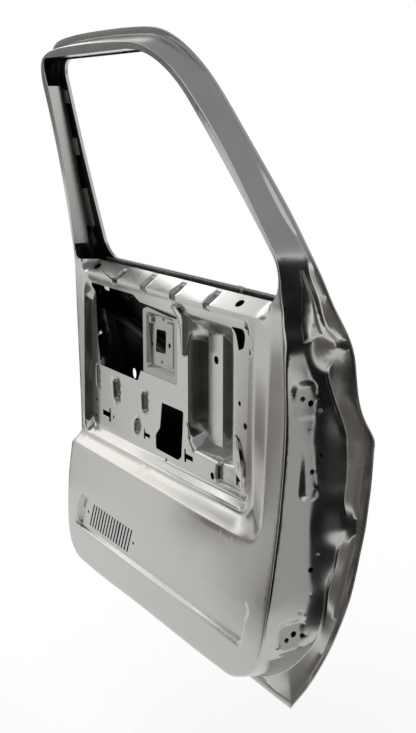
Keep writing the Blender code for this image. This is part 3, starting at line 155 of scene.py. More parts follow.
# Softboxes for the sloping band under the recess, for the ledge's pads and for the ridge's bright line
card("left_softbox", (-0.94, -0.27, 0.42), 1.82, (2.0, 1.15), "fffefa", 1.90, 0.14)
card("ledge_softbox", (-0.845, 0.02, 0.53), 1.6, (0.75, 0.55), "ffffff", 3.50, 0.12)
card("edge_strip_light", (0.852, -0.80, -0.10), 1.173, (0.09, 1.8), "ffffff", 2.60, 0.04)
# A grey ceiling, and the flags that darken the flange, the hinge wall, the recess's front border and
# the window frame
card("ceiling_flag", (0.10, 0.0, 1.0), 1.7, (4.4, 4.0), "b9bcc2", 0.85, 0.5)
card("camera_side_flag", (0.05, -0.95, -0.35), 1.1, (1.9, 1.5), "cfc8be", 0.25, 0.25)
card("hinge_side_flag", (0.955, -0.26, -0.16), 1.45, (1.75, 2.3), "ffffff", 0.01, 0.08)
card("hinge_side_grey", (0.74, 0.64, -0.38), 1.60, (1.5, 1.4), "ffffff", 0.58, 0.10)
card("latch_side_flag", (-0.965, -0.125, -0.23), 2.3, (1.0, 0.85), "b3aba2", 0.32, 0.12)
card("border_flag", (-0.465, -0.777, -0.424), 0.566, (0.26, 0.54), "c4b8ae", 0.32, 0.08)
card("frame_flag", (-0.66, -0.46, 0.52), 0.98, (0.95, 0.74), "b6b8ba", 0.40, 0.06)


# The floor: a wide board painted white, well below the shell, which hangs by its hinge seats. Its
# faint glow for seen and mirrored rays keeps it white round the door's soft shadow.
FLOOR_DROP = 0.45
floor_mesh = bpy.data.meshes.new("floor")
build = bmesh.new()
bmesh.ops.create_grid(build, x_segments=1, y_segments=1, size=8.0)
build.to_mesh(floor_mesh)
build.free()
floor = bpy.data.objects.new("floor", floor_mesh)
floor.location = (-0.4, 0.0, cad_box[0][2] - FLOOR_DROP)
bpy.context.scene.collection.objects.link(floor)
board = bpy.data.materials.new("white_painted_board")
board.use_nodes = True
tree = board.node_tree
tree.nodes.clear()
paint = add(tree, "ShaderNodeBsdfDiffuse", [("Color", linear("f5f5f5"))])
glow = add(tree, "ShaderNodeEmission", [("Color", linear("ffffff")), ("Strength", 0.10)])
plain = add(tree, "ShaderNodeEmission", [("Color", linear("ffffff")), ("Strength", 0.0)])
lift = add(tree, "ShaderNodeMixShader", [],
           [(0, seen_or_mirrored(tree)), (1, plain.outputs[0]), (2, glow.outputs[0])])
both = add(tree, "ShaderNodeAddShader", [], [(0, paint.outputs[0]), (1, lift.outputs[0])])
add(tree, "ShaderNodeOutputMaterial", [], [("Surface", both.outputs[0])])
floor_mesh.materials.append(board)


# The inner panel: one deep pressing of 1 mm cold-rolled steel that takes in the window frame, the
# recess for the trim panel and the hinge wall. It is drawn in a press, and its window and holes are
# then punched. Its steel is bare: satin, with faint drawing marks and small changes of gloss.

# Marks about 1 mm apart, 80 mm long and 0.1 mm deep, and clouds of gloss about 110 mm wide
CLOUDS_PER_METRE = 9.0
MARKS_PER_METRE = 900.0
MARKS_ALONG_PER_METRE = 12.0
MARK_DEPTH = 0.0001


def bare_steel(name, colour, roughness):
    """Satin steel with drawing marks about 1 mm apart and soft cloudy changes of gloss."""
    mat = bpy.data.materials.new(name)
    mat.use_nodes = True
    tree = mat.node_tree
    shader = tree.nodes["Principled BSDF"]
    shader.inputs["Metallic"].default_value = 1.0
    place = add(tree, "ShaderNodeTexCoord").outputs["Object"]
    cloud = add(tree, "ShaderNodeTexNoise", [("Scale", CLOUDS_PER_METRE), ("Detail", 5.0)],
                [("Vector", place)])
    tint = add(tree, "ShaderNodeMapRange", [("To Min", 0.90), ("To Max", 1.06)],
               [("Value", cloud.outputs["Fac"])])
    base = add(tree, "ShaderNodeVectorMath", [("operation", "SCALE"), (0, linear(colour)[:3])],
               [("Scale", tint.outputs["Result"])])
    tree.links.new(base.outputs[0], shader.inputs["Base Color"])
    grain = add(tree, "ShaderNodeMapping",
                [("Scale", (MARKS_ALONG_PER_METRE, MARKS_ALONG_PER_METRE, MARKS_PER_METRE))],
                [("Vector", place)])
    lines = add(tree, "ShaderNodeTexNoise", [("Scale", 1.0), ("Detail", 3.0)],
                [("Vector", grain.outputs[0])])
    gloss = add(tree, "ShaderNodeMapRange",
                [("From Min", 0.25), ("From Max", 0.75),
                 ("To Min", roughness - 0.05), ("To Max", roughness + 0.07)],
                [("Value", cloud.outputs["Fac"])])
    tree.links.new(gloss.outputs["Result"], shader.inputs["Roughness"])
    bump = add(tree, "ShaderNodeBump", [("Strength", 0.25), ("Distance", MARK_DEPTH)],
               [("Height", lines.outputs["Fac"])])
    tree.links.new(bump.outputs["Normal"], shader.inputs["Normal"])
    return mat


# Cold-rolled steel with the smooth satin of a press tool, and the same steel painted nearly black and duller
# # where it faces the inside of the shell: painted shade for the dark in there
panel_steel = bare_steel("cold_rolled_steel_pressed", "b8b7b4", 0.22)
painted_shade_steel = bare_steel("steel_painted_shade", "302d2b", 0.42)

# Longest step along a bend line, and the lines down a pressed wall, as shares of its width
LINE_GAP = 0.009
RAMP_SHARES = (0.0, 0.11, 0.22, 0.34, 0.66, 0.78, 0.89, 1.0)


def outline_distance(loop, x, z):
    """Shortest distance from each point to a closed outline, and whether it is inside."""
    x = np.asarray(x, dtype=float)
    z = np.asarray(z, dtype=float)
    a = np.array(loop)
    b = np.roll(a, -1, axis=0)
    px = x[..., None]
    pz = z[..., None]
    ex, ez = (b - a).T
    t = ((px - a[:, 0]) * ex + (pz - a[:, 1]) * ez) / np.maximum(ex * ex + ez * ez, 1e-16)
    t = np.clip(t, 0.0, 1.0)
    gap = np.hypot(px - a[:, 0] - t * ex, pz - a[:, 1] - t * ez).min(axis=-1)
    rising = (a[:, 1] > pz) != (b[:, 1] > pz)
    cross_x = a[:, 0] + (pz - a[:, 1]) / np.where(ez == 0, 1e-16, ez) * ex
    inside = (np.sum(rising & (px < cross_x), axis=-1) % 2) == 1
    return gap, inside


def rounded(corners, radius, steps=3):
    """Closed outline through corners, each rounded by an arc. Radius is one value or one a corner."""
    points = []
    count = len(corners)
    for i, corner in enumerate(corners):
        r = radius[i] if isinstance(radius, (list, tuple)) else radius
        here = Vector(corner)
        before = (Vector(corners[i - 1]) - here).normalized()
        after = (Vector(corners[(i + 1) % count]) - here).normalized()
        half = 0.5 * before.angle(after)
        if r <= 0 or half > math.pi / 2 - 0.02:
            points.append((here.x, here.y))
            continue
        reach = r / math.tan(half)
        centre = here + (before + after).normalized() * (r / math.sin(half))
        start = here + before * reach - centre
        end = here + after * reach - centre
        sweep = start.angle_signed(end)
        for k in range(steps + 1):
            turn = -sweep * k / steps
            spoke = Matrix.Rotation(turn, 2) @ start
            points.append((centre.x + spoke.x, centre.y + spoke.y))
    return points


def inset(corners, width):
    """Corners of an outline (anticlockwise) moved inwards by one width, or one width a side."""
    count = len(corners)
    widths = width if isinstance(width, (list, tuple)) else [width] * count
    lines = []
    for i in range(count):
        a = Vector(corners[i])
        b = Vector(corners[(i + 1) % count])
        along = (b - a).normalized()
        shift = Vector((-along.y, along.x)) * widths[i]
        lines.append((a + shift, b + shift))
    moved = []
    for i in range(count):
        a, b = lines[i - 1]
        c, d = lines[i]
        meet = geometry.intersect_line_line(a.to_3d(), b.to_3d(), c.to_3d(), d.to_3d())
        moved.append((meet[0].x, meet[0].y) if meet else (c.x, c.y))
    return moved


def box_outline(middle, half, radius=0.0, steps=2):
    """A rectangle round its middle point, with rounded corners."""
    corners = [(middle[0] + a * half[0], middle[1] + b * half[1])
               for a, b in ((-1, -1), (1, -1), (1, 1), (-1, 1))]
    return rounded(corners, radius, steps) if radius else corners


def spaced(run, gap):
    """An open run of points with more added so that none are further apart than gap."""
    result = [run[0]]
    for a, b in zip(run, run[1:]):
        count = max(1, math.ceil(math.dist(a, b) / gap))
        for k in range(1, count + 1):
            result.append((a[0] + (b[0] - a[0]) * k / count, a[1] + (b[1] - a[1]) * k / count))
    return result


def rounded_ramp(t, bend):
    """A straight ramp from 0 to 1 whose first and last shares are round bends."""
    scale = 2 * bend * (1 - bend)
    foot = t**2 / scale
    middle = (t - bend / 2) / (1 - bend)
    head = 1 - (1 - t)**2 / scale
    return np.where(t < bend, foot, np.where(t > 1 - bend, head, middle))


class Press:
    """A pressed step: none outside one outline, full depth inside the other, with both bends round."""

    def __init__(self, outer, inner, depth, bend=0.32):
        self.outer = outer
        self.inner = inner
        self.depth = depth
        self.bend = bend

    def __call__(self, x, z):
        gap_out, in_outer = outline_distance(self.outer, x, z)
        gap_in, in_inner = outline_distance(self.inner, x, z)
        ramp = gap_out / np.maximum(gap_out + gap_in, 1e-9)
        ramp = np.where(in_inner, 1.0, np.where(in_outer, ramp, 0.0))
        return self.depth * rounded_ramp(ramp, self.bend)

    def lines(self):
        """Closed outlines down the wall, close together where it bends."""
        rows = []
        for share in RAMP_SHARES:
            row = [tuple((1 - share) * np.array(p) + share * np.array(q))
                   for p, q in zip(self.outer, self.inner)]
            rows.append((spaced(row + row[:1], LINE_GAP)[:-1], True))
        return rows


def pressed(corners, radius, wall, depth, steps=6, bend=0.32):
    """A press with walls of one width, or one width a side."""
    thin = min(wall) if isinstance(wall, (list, tuple)) else wall
    inner_radius = max(0.0006, radius - thin)
    foot = rounded(inset(corners, wall), inner_radius, steps)
    return Press(rounded(corners, radius, steps), foot, depth, bend)


# Heights of the main lines, from the underside of the inner panel's face
WAIST_Z = 0.736
LEDGE_RISE = 0.028
SILL_Z = WAIST_Z + LEDGE_RISE
RECESS_BOTTOM_Z = 0.335
RECESS_TILT = 0.024
BORDER_DROP = 0.040
FRONT_LIMIT = -0.136
FAR = 1.0


def recess_low(x):
    """Height of the recess's lower edge, which drops a little towards the rear."""
    return RECESS_BOTTOM_Z + RECESS_TILT * (x - FRONT_LIMIT)


# The border round the trim recess turns up along the hinge side
border_edge = rounded([(-FAR, RECESS_BOTTOM_Z - BORDER_DROP), (-0.035, RECESS_BOTTOM_Z - BORDER_DROP),
                       (-0.035, FAR), (-FAR, FAR)], [0, 0.055, 0, 0], 12)
plane_edge = rounded([(-FAR, recess_low(-FAR)), (-0.112, recess_low(-0.112)), (-0.112, FAR), (-FAR, FAR)],
                     [0, 0.045, 0, 0], 12)
upper_plane = Press(border_edge, plane_edge, 1.0, 0.16)

# Presses of the trim recess: the recess itself, its deep pocket with a block left standing in it, a
# rib, a cup in the corner, drops, a dent at the side and the long storage field under it
RECESS_DEPTH = 0.022
POCKET_DEPTH = 0.053
BLOCK_DEPTH = 0.0525
STORAGE_DEPTH = 0.010
recess_corners = [(-0.914, recess_low(-0.914)), (FRONT_LIMIT, RECESS_BOTTOM_Z), (-0.122, WAIST_Z - 0.004),
                  (-0.898, WAIST_Z - 0.004)]
recess_floor = [(-0.910, RECESS_BOTTOM_Z + 0.010), (-0.140, RECESS_BOTTOM_Z + 0.016),
                (-0.1275, WAIST_Z - 0.054), (-0.894, WAIST_Z - 0.054)]
recess = Press(rounded(recess_corners, 0.030, 10), rounded(recess_floor, 0.026, 10), RECESS_DEPTH, 0.25)
POCKET_LOW_Z = 0.394
POCKET_HIGH_Z = WAIST_Z - 0.034
POCKET_WALLS = [0.047, 0.045, 0.066, 0.007, 0.030]
pocket_corners = [(-0.385, POCKET_LOW_Z), (-0.2185, POCKET_LOW_Z), (-0.2185, POCKET_HIGH_Z),
                  (-0.4075, POCKET_HIGH_Z), (-0.4075, 0.423)]
pocket = pressed(pocket_corners, 0.010, POCKET_WALLS, POCKET_DEPTH)
block = pressed([(-0.372, 0.405), (-0.309, 0.405), (-0.309, 0.682), (-0.372, 0.682)], 0.002, 0.0025, 1.0)
rib = pressed([(-0.420, 0.604), (-0.4095, 0.604), (-0.4095, 0.700), (-0.414, 0.716), (-0.446, 0.716),
               (-0.441, 0.690), (-0.428, 0.660)], 0.004, 0.004, -0.010)
corner_cup = pressed([(-0.286, 0.357), (-0.186, 0.360), (-0.178, 0.420), (-0.263, 0.420), (-0.284, 0.397)],
                     0.010, 0.006, 0.008)
drop_a = pressed([(-0.784, 0.420), (-0.750, 0.440), (-0.750, 0.488), (-0.790, 0.482)], 0.010, 0.005, 0.010)
drop_b = pressed([(-0.631, 0.423), (-0.601, 0.443), (-0.601, 0.488), (-0.635, 0.482)], 0.010, 0.005, 0.010)
drop_c = pressed([(-0.676, 0.362), (-0.644, 0.380), (-0.644, 0.422), (-0.672, 0.404)], 0.009, 0.005, 0.010)
side_dent = pressed([(-0.884, 0.445), (-0.866, 0.445), (-0.868, 0.492), (-0.884, 0.522)],
                    0.006, 0.004, 0.008)
storage = pressed([(-0.882, 0.088), (-0.080, 0.088), (-0.057, 0.178), (-0.849, 0.178)], 0.010,
                  [0.006, 0.005, 0.004, 0.005], STORAGE_DEPTH, 6, 0.16)
presses = [recess, pocket, rib, corner_cup, drop_a, drop_b, drop_c, side_dent, storage]

# Four notches in the ledge under the window
NOTCH_XS = (-0.723, -0.577, -0.437, -0.292)
NOTCH_WIDTH = 0.026
NOTCH_DEPTH = 0.010
for notch_x in NOTCH_XS:
    low = WAIST_Z - 0.013
    high = SILL_Z - 0.004
    side = NOTCH_WIDTH / 2
    presses.append(pressed([(notch_x - side, low), (notch_x + side, low), (notch_x + side, high),
                            (notch_x - side, high)], 0.003, [0.006, 0.004, 0.010, 0.004], NOTCH_DEPTH))

# Depth of the border by height, the lean of the window frame above it, and where the ledge ends
BORDER_PROFILE = [(0.0, -0.045), (0.12, -0.045), (0.20, -0.040), (0.30, -0.027), (0.40, -0.018),
                  (0.50, -0.014), (0.60, -0.010), (WAIST_Z + 0.024, 0.0)]
FRAME_LEAN = 0.10
FRAME_LEAN_GROWTH = 0.16
FRAME_FOOT_Z = SILL_Z + 0.036
LEDGE_DEPTH = 0.038
LEDGE_ENDS = (-0.915, -0.885, -0.105, -0.055)


def smooth_keys(keys, value):
    """Read a smooth curve through (position, height) keys at one position or an array of them."""
    at = np.asarray(value, dtype=float)
    xs = np.array([k[0] for k in keys])
    ys = np.array([k[1] for k in keys])
    slopes = np.gradient(ys, xs)
    at = np.clip(at, xs[0], xs[-1])
    i = np.clip(np.searchsorted(xs, at) - 1, 0, len(xs) - 2)
    span = xs[i + 1] - xs[i]
    t = (at - xs[i]) / span
    rise = (2 * t**3 - 3 * t**2 + 1) * ys[i] + (3 * t**2 - 2 * t**3) * ys[i + 1]
    lift = (t**3 - 2 * t**2 + t) * slopes[i] + (t**3 - t**2) * slopes[i + 1]
    return rise + span * lift


def face_y(x, z):
    """Depth of the inner panel's face, from the raised lower border up to the window frame."""
    x = np.asarray(x, dtype=float)
    z = np.asarray(z, dtype=float)
    border = smooth_keys(BORDER_PROFILE, z)
    above = np.maximum(z - BORDER_PROFILE[-1][0], 0.0)
    depth = border * (1.0 - upper_plane(x, z)) - FRAME_LEAN * above - FRAME_LEAN_GROWTH * above**2
    for press in presses:
        depth = depth + press(x, z)
    depth = depth - block(x, z) * np.maximum(depth - BLOCK_DEPTH, 0.0)
    climb = np.clip((z - WAIST_Z) / LEDGE_RISE, 0.0, 1.0) * np.clip((FRAME_FOOT_Z - z) / 0.025, 0.0, 1.0)
    rear = np.clip((x - LEDGE_ENDS[0]) / (LEDGE_ENDS[1] - LEDGE_ENDS[0]), 0.0, 1.0)
    front = np.clip((LEDGE_ENDS[3] - x) / (LEDGE_ENDS[3] - LEDGE_ENDS[2]), 0.0, 1.0)
    return depth + LEDGE_DEPTH * climb * np.minimum(rear, front)


# Edge of the door, anticlockwise from the rear end of the underside. Each row gives the face's edge,
# the ridge where the side wall meets the flange, the hem's edge, the ridge's drop below the skin, the
# hem's width, the radius of the face's edge and the number of steps to the next row.
EDGE = [
    ((-0.865, 0.000), (-0.865, -0.019), (-0.865, -0.048), 0.014, 0.010, 0.012, 4),
    ((-0.500, 0.000), (-0.500, -0.019), (-0.500, -0.048), 0.014, 0.010, 0.012, 4),
    ((-0.137, 0.002), (-0.132, -0.019), (-0.130, -0.048), 0.014, 0.010, 0.012, 2),
    ((-0.098, 0.013), (-0.100, -0.006), (-0.080, -0.048), 0.014, 0.010, 0.010, 2),
    ((-0.055, 0.036), (-0.054, 0.026), (-0.029, -0.047), 0.014, 0.012, 0.010, 3),
    ((-0.012, 0.082), (-0.012, 0.076), (0.004, 0.010), 0.016, 0.018, 0.008, 2),
    ((0.000, 0.120), (0.014, 0.118), (0.034, 0.084), 0.018, 0.015, 0.006, 2),
    ((0.007, 0.165), (0.022, 0.158), (0.052, 0.140), 0.018, 0.012, 0.005, 2),
    ((0.013, 0.215), (0.020, 0.212), (0.069, 0.205), 0.018, 0.017, 0.005, 2),
    ((0.013, 0.262), (0.031, 0.264), (0.078, 0.262), 0.018, 0.020, 0.005, 1),
    ((0.013, 0.306), (0.039, 0.308), (0.084, 0.306), 0.018, 0.013, 0.005, 1),
    ((0.014, 0.350), (0.055, 0.352), (0.092, 0.350), 0.018, 0.024, 0.005, 1),
    ((0.016, 0.395), (0.042, 0.396), (0.098, 0.396), 0.018, 0.025, 0.005, 1),
    ((0.018, 0.440), (0.048, 0.440), (0.105, 0.440), 0.018, 0.025, 0.005, 1),
    ((0.020, 0.475), (0.052, 0.475), (0.110, 0.475), 0.018, 0.024, 0.005, 1),
    ((0.021, 0.505), (0.054, 0.505), (0.115, 0.505), 0.018, 0.017, 0.005, 1),
    ((0.021, 0.535), (0.056, 0.535), (0.120, 0.536), 0.018, 0.012, 0.005, 1),
    ((0.020, 0.570), (0.042, 0.572), (0.095, 0.572), 0.018, 0.009, 0.005, 1),
    ((0.017, 0.605), (0.030, 0.602), (0.087, 0.603), 0.018, 0.009, 0.005, 1),
    ((0.010, 0.650), (0.024, 0.648), (0.090, 0.648), 0.018, 0.009, 0.005, 1),
    ((0.003, 0.685), (0.055, 0.682), (0.094, 0.684), 0.016, 0.009, 0.005, 1),
    ((-0.001, 0.707), (0.071, 0.706), (0.092, 0.708), 0.014, 0.009, 0.004, 1),
    ((-0.008, 0.735), (0.041, 0.738), (0.081, 0.736), 0.014, 0.009, 0.003, 1),
    ((-0.016, 0.782), (0.028, 0.784), (0.056, 0.778), 0.012, 0.009, 0.003, 1),
    ((-0.013, 0.820), (0.010, 0.822), (0.036, 0.824), 0.010, 0.009, 0.003, 1),
    ((-0.019, 0.858), (-0.004, 0.864), (0.012, 0.867), 0.008, 0.009, 0.003, 2),
    ((-0.064, 0.924), (-0.054, 0.932), (-0.037, 0.946), 0.008, 0.010, 0.003, 3),
    ((-0.159, 1.060), (-0.150, 1.067), (-0.137, 1.076), 0.008, 0.009, 0.003, 2),
    ((-0.238, 1.152), (-0.230, 1.160), (-0.216, 1.171), 0.008, 0.009, 0.003, 2),
    ((-0.290, 1.199), (-0.282, 1.208), (-0.270, 1.218), 0.008, 0.009, 0.003, 2),
    ((-0.346, 1.231), (-0.340, 1.241), (-0.333, 1.256), 0.008, 0.009, 0.003, 2),
    ((-0.411, 1.252), (-0.407, 1.263), (-0.401, 1.280), 0.008, 0.009, 0.003, 1),
    ((-0.480, 1.259), (-0.480, 1.271), (-0.480, 1.289), 0.008, 0.009, 0.003, 2),
    ((-0.660, 1.263), (-0.660, 1.275), (-0.660, 1.293), 0.008, 0.009, 0.003, 2),
    ((-0.850, 1.258), (-0.851, 1.270), (-0.852, 1.289), 0.008, 0.009, 0.003, 2),
    ((-0.918, 1.244), (-0.925, 1.256), (-0.936, 1.275), 0.008, 0.009, 0.003, 1),
    ((-0.945, 1.218), (-0.957, 1.228), (-0.973, 1.241), 0.009, 0.009, 0.003, 1),
    ((-0.956, 1.176), (-0.969, 1.179), (-0.988, 1.184), 0.010, 0.009, 0.004, 6),
    ((-0.954, 0.780), (-0.968, 0.780), (-0.991, 0.780), 0.012, 0.010, 0.004, 6),
    ((-0.942, 0.400), (-0.958, 0.400), (-0.984, 0.400), 0.014, 0.010, 0.012, 6),
    ((-0.935, 0.080), (-0.953, 0.080), (-0.981, 0.080), 0.014, 0.010, 0.012, 2),
    ((-0.914, 0.024), (-0.929, 0.008), (-0.950, -0.014), 0.014, 0.010, 0.012, 2),
]
# The row with the hem's sharp lower front corner, and steps of the mesh to each step of a row
SHARP_HEM_ROW = 4
FINER = 4


def spline(points, steps, corner=None):
    """Points on a smooth closed curve through the rows of EDGE, with at most one sharp corner."""
    pts = np.array(points, dtype=float)
    count = len(pts)
    lengths = np.linalg.norm(np.roll(pts, -1, axis=0) - pts, axis=1)
    result = []
    for i in range(count):
        j = (i + 1) % count
        tangents = []
        for end, other in ((i, j), (j, i)):
            if end == corner:
                tangents.append(pts[j] - pts[i])
                continue
            before = (pts[end] - pts[end - 1]) / lengths[end - 1]
            after = (pts[(end + 1) % count] - pts[end]) / lengths[end]
            mix = (before * lengths[end - 1] + after * lengths[end]) / (lengths[end] + lengths[end - 1])
            tangents.append(mix * lengths[i])
        for k in range(steps[i]):
            t = k / steps[i]
            place = (2 * t**3 - 3 * t**2 + 1) * pts[i] + (3 * t**2 - 2 * t**3) * pts[j]
            place = place + (t**3 - 2 * t**2 + t) * tangents[0] + (t**3 - t**2) * tangents[1]
            result.append(place)
    return np.array(result)


edge_steps = [row[6] * FINER for row in EDGE]
station_rows = np.concatenate([i + np.arange(n) / n for i, n in enumerate(edge_steps)])


def along_edge(column):
    """A width from EDGE at each station round the door."""
    values = [row[column] for row in EDGE] + [EDGE[0][column]]
    return np.interp(station_rows, range(len(values)), values)


face_edge = spline([row[0] for row in EDGE], edge_steps)
ridge = spline([row[1] for row in EDGE], edge_steps)
hem_edge = spline([row[2] for row in EDGE], edge_steps, SHARP_HEM_ROW)
ridge_drop = along_edge(3)
hem_width = along_edge(4)
edge_radius = along_edge(5)

# Depth of the outer skin by height, which the flange follows, with a slight crown along its length
SKIN_PROFILE = [(-0.07, 0.035), (0.10, 0.088), (0.25, 0.114), (0.40, 0.124), (0.50, 0.120),
                (WAIST_Z - 0.086, 0.094), (WAIST_Z + 0.064, 0.058), (WAIST_Z + 0.264, 0.012),
                (WAIST_Z + 0.564, -0.050)]
SKIN_CROWN = 0.006
SKIN_MID_X = -0.43
SKIN_HALF_LENGTH = 0.55


def skin_y(x, z):
    """Depth of the outer skin's middle surface."""
    crown = SKIN_CROWN * (1.0 - ((np.asarray(x) - SKIN_MID_X) / SKIN_HALF_LENGTH) ** 2)
    return smooth_keys(SKIN_PROFILE, z) + crown


def toward(start, end, distance):
    """Points moved from start towards end by a distance."""
    way = end - start
    way = way / np.linalg.norm(way, axis=1)[:, None]
    return start + way * np.broadcast_to(distance, (len(start),))[:, None]


def ring(points, depth):
    """A closed row of points in space from an outline and its depths."""
    depth = np.broadcast_to(depth, (len(points),))
    return np.column_stack([points[:, 0], depth, points[:, 1]])


def bend_rings(start, corner, end, count):
    """Rows of points round a bend, from start to end, along the arc that its corner pulls out."""
    rows = []
    for k in range(count + 1):
        t = k / count
        rows.append((1 - t)**2 * start + 2 * t * (1 - t) * corner + t**2 * end)
    return rows


def moved_toward(start, end, distance):
    """Points in space moved from start towards end by a distance."""
    way = end - start
    return start + way / np.linalg.norm(way, axis=1)[:, None] * distance


# Sheet thicknesses, the clearance between touching sheets and the reach of the flange past the hem
INNER_SHEET = 0.0010
SKIN_SHEET = 0.0009
CLEARANCE = 0.0003
FOLD_RADIUS = INNER_SHEET / 2 + CLEARANCE + SKIN_SHEET / 2
HEM_REACH = 0.003

# Stations round the panel's side wall and flange, with round bends at the face and at the ridge. The
# ridge's bend is wider on the hinge side, and fades out towards both ends there.
RIDGE_BEND = 0.0045
HINGE_BEND = 0.002
HINGE_BEND_ENDS = (0.085, 0.145, 0.765, 0.865)
HINGE_SIDE_X = -0.2
face_start = toward(face_edge, ridge, -edge_radius)
face_depth = face_y(face_start[:, 0], face_start[:, 1])
ridge_depth = skin_y(ridge[:, 0], ridge[:, 1]) - ridge_drop
wall_share = edge_radius / np.maximum(ridge_depth - face_depth, 0.01)
wall_start = ring(face_edge + (ridge - face_edge) * wall_share[:, None], face_depth + edge_radius)
hem_stop = toward(hem_edge, ridge, hem_width + HEM_REACH)
flange_end = toward(hem_edge, ridge, FOLD_RADIUS + CLEARANCE * 2)
ridge_line = ring(ridge, ridge_depth)
hem_line = ring(hem_stop, skin_y(hem_stop[:, 0], hem_stop[:, 1]) - FOLD_RADIUS)
ridge_x, ridge_z = ridge.T
rise = (ridge_z - HINGE_BEND_ENDS[0]) / (HINGE_BEND_ENDS[1] - HINGE_BEND_ENDS[0])
fall = (HINGE_BEND_ENDS[3] - ridge_z) / (HINGE_BEND_ENDS[3] - HINGE_BEND_ENDS[2])
wider = np.clip(rise, 0, 1) * np.clip(fall, 0, 1) * (ridge_x > HINGE_SIDE_X) * HINGE_BEND
wall_end = moved_toward(ridge_line, wall_start, RIDGE_BEND + wider[:, None])
flange_start = moved_toward(ridge_line, hem_line, RIDGE_BEND * 0.8)
corner_rings = bend_rings(ring(face_start, face_depth), ring(face_edge, face_depth), wall_start, 7)
flange_rings = bend_rings(wall_end, ridge_line, flange_start, 10)
flange_rings += [(flange_start + hem_line) / 2, hem_line,
                 ring(flange_end, skin_y(flange_end[:, 0], flange_end[:, 1]) - FOLD_RADIUS)]


def circle(x, z, radius, count=28, stretch=1.0):
    """A round or oval outline, anticlockwise."""
    turns = [2 * math.pi * i / count for i in range(count)]
    return [(x + radius * math.cos(turn), z + radius * stretch * math.sin(turn)) for turn in turns]


# Front leg of the window frame: its slope, and one point of the window's edge on it
LEG_SLOPE = 0.802
LEG_X = -0.224
LEG_Z = 1.106
WINDOW_TOP_Z = 1.243


def leg_line(z, shift=0.0):
    """X of the front leg's window edge at a height, moved into the window by shift."""
    return LEG_X + (LEG_Z - z) * LEG_SLOPE - shift * math.hypot(1.0, LEG_SLOPE)


def window_outline(rear_low, rear_top, low, top, shift, radii, steps=16):
    """The window's outline, anticlockwise from its rear lower corner."""
    corners = [(rear_low, low), (leg_line(low, shift), low), (leg_line(top, shift), top), (rear_top, top)]
    loop = rounded(corners, radii, steps)
    return spaced(loop + loop[:1], LINE_GAP)[:-1]


window = window_outline(-0.9435, -0.924, SILL_Z, WINDOW_TOP_Z, 0.0, [0.020, 0.062, 0.280, 0.034])

# The access openings, and the bolt, screw and drain holes
access = rounded([(-0.857, 0.504), (-0.650, 0.504), (-0.633, 0.531), (-0.455, 0.531), (-0.455, 0.684),
                  (-0.629, 0.694), (-0.644, 0.710), (-0.877, 0.710), (-0.871, 0.577), (-0.861, 0.530)],
                 [0.006, 0.003, 0.004, 0.008, 0.006, 0.004, 0.006, 0.008, 0, 0.004], 6)
square = rounded([(-0.454, 0.361), (-0.438, 0.372), (-0.428, 0.478), (-0.529, 0.477), (-0.536, 0.435),
                  (-0.540, 0.415), (-0.561, 0.394), (-0.560, 0.362)], 0.005, 6)
wedge = rounded([(-0.1983, 0.6536), (-0.1796, 0.6629), (-0.1694, 0.7031), (-0.2150, 0.7018)], 0.004, 5)
pocket_hole = circle(-0.338, 0.6065, 0.009, 28)
small_holes = [(-0.884, 0.409, 0.004), (-0.889, 0.366, 0.004), (-0.785, 0.385, 0.004), (-0.509, 0.347, 0.004),
               (-0.194, 0.547, 0.005), (-0.152, 0.708, 0.005), (-0.824, 0.138, 0.004), (-0.572, 0.137, 0.004)]
round_holes = [circle(*hole, 20) for hole in small_holes]
round_holes += [circle(-0.302, 0.366, 0.008, 24), circle(-0.172, 0.505, 0.007, 24)]
ledge_mid_z = WAIST_Z + LEDGE_RISE / 2
ledge_holes = [circle(x, ledge_mid_z, 0.012, 28, 0.5) for x in (-0.857, -0.191)]

# Keyhole slots for the trim's clips, each with its middle and scale, and the field of louvres
T_SLOTS = ((-0.824, 0.386, -1.3), (-0.606, 0.383, 0.9), (-0.406, 0.381, 1.1), (-0.2015, 0.384, 1.0))
LOUVRE_COUNT = 15
LOUVRE_PITCH = 0.0149
LOUVRE_WIDTH = 0.0062
LOUVRE_TOP_Z = 0.166
LOUVRE_BOTTOM_Z = 0.105
LOUVRE_FIRST_X = -0.793
LOUVRE_LEAN = 0.38


def t_slot(x, z, scale):
    """A keyhole slot for a trim clip: an upright with a bar. A scale under zero mirrors it."""
    loop = [(-0.017, -0.014), (-0.009, -0.014), (-0.009, -0.006), (0.018, -0.006), (0.018, 0.004),
            (-0.011, 0.004), (-0.011, 0.013), (-0.017, 0.013)]
    placed = [(x + scale * u, z + abs(scale) * v) for u, v in loop]
    return placed if scale > 0 else placed[::-1]


def louvre(index):
    """One leaning slot of the louvre field."""
    x = LOUVRE_FIRST_X + index * LOUVRE_PITCH
    foot = x - (LOUVRE_TOP_Z - LOUVRE_BOTTOM_Z) * LOUVRE_LEAN
    w = LOUVRE_WIDTH
    return [(foot, LOUVRE_BOTTOM_Z), (foot + w, LOUVRE_BOTTOM_Z), (x + w, LOUVRE_TOP_Z), (x, LOUVRE_TOP_Z)]


openings = [window, access, square, wedge, pocket_hole] + round_holes + ledge_holes
openings += [t_slot(*slot) for slot in T_SLOTS]
openings += [louvre(i) for i in range(LOUVRE_COUNT)]


def within(loop, x, z):
    """Whether each of many points is inside a closed outline."""
    marks = [outline_distance(loop, x[i:i + 4000], z[i:i + 4000])[1] for i in range(0, len(x), 4000)]
    return np.concatenate(marks)


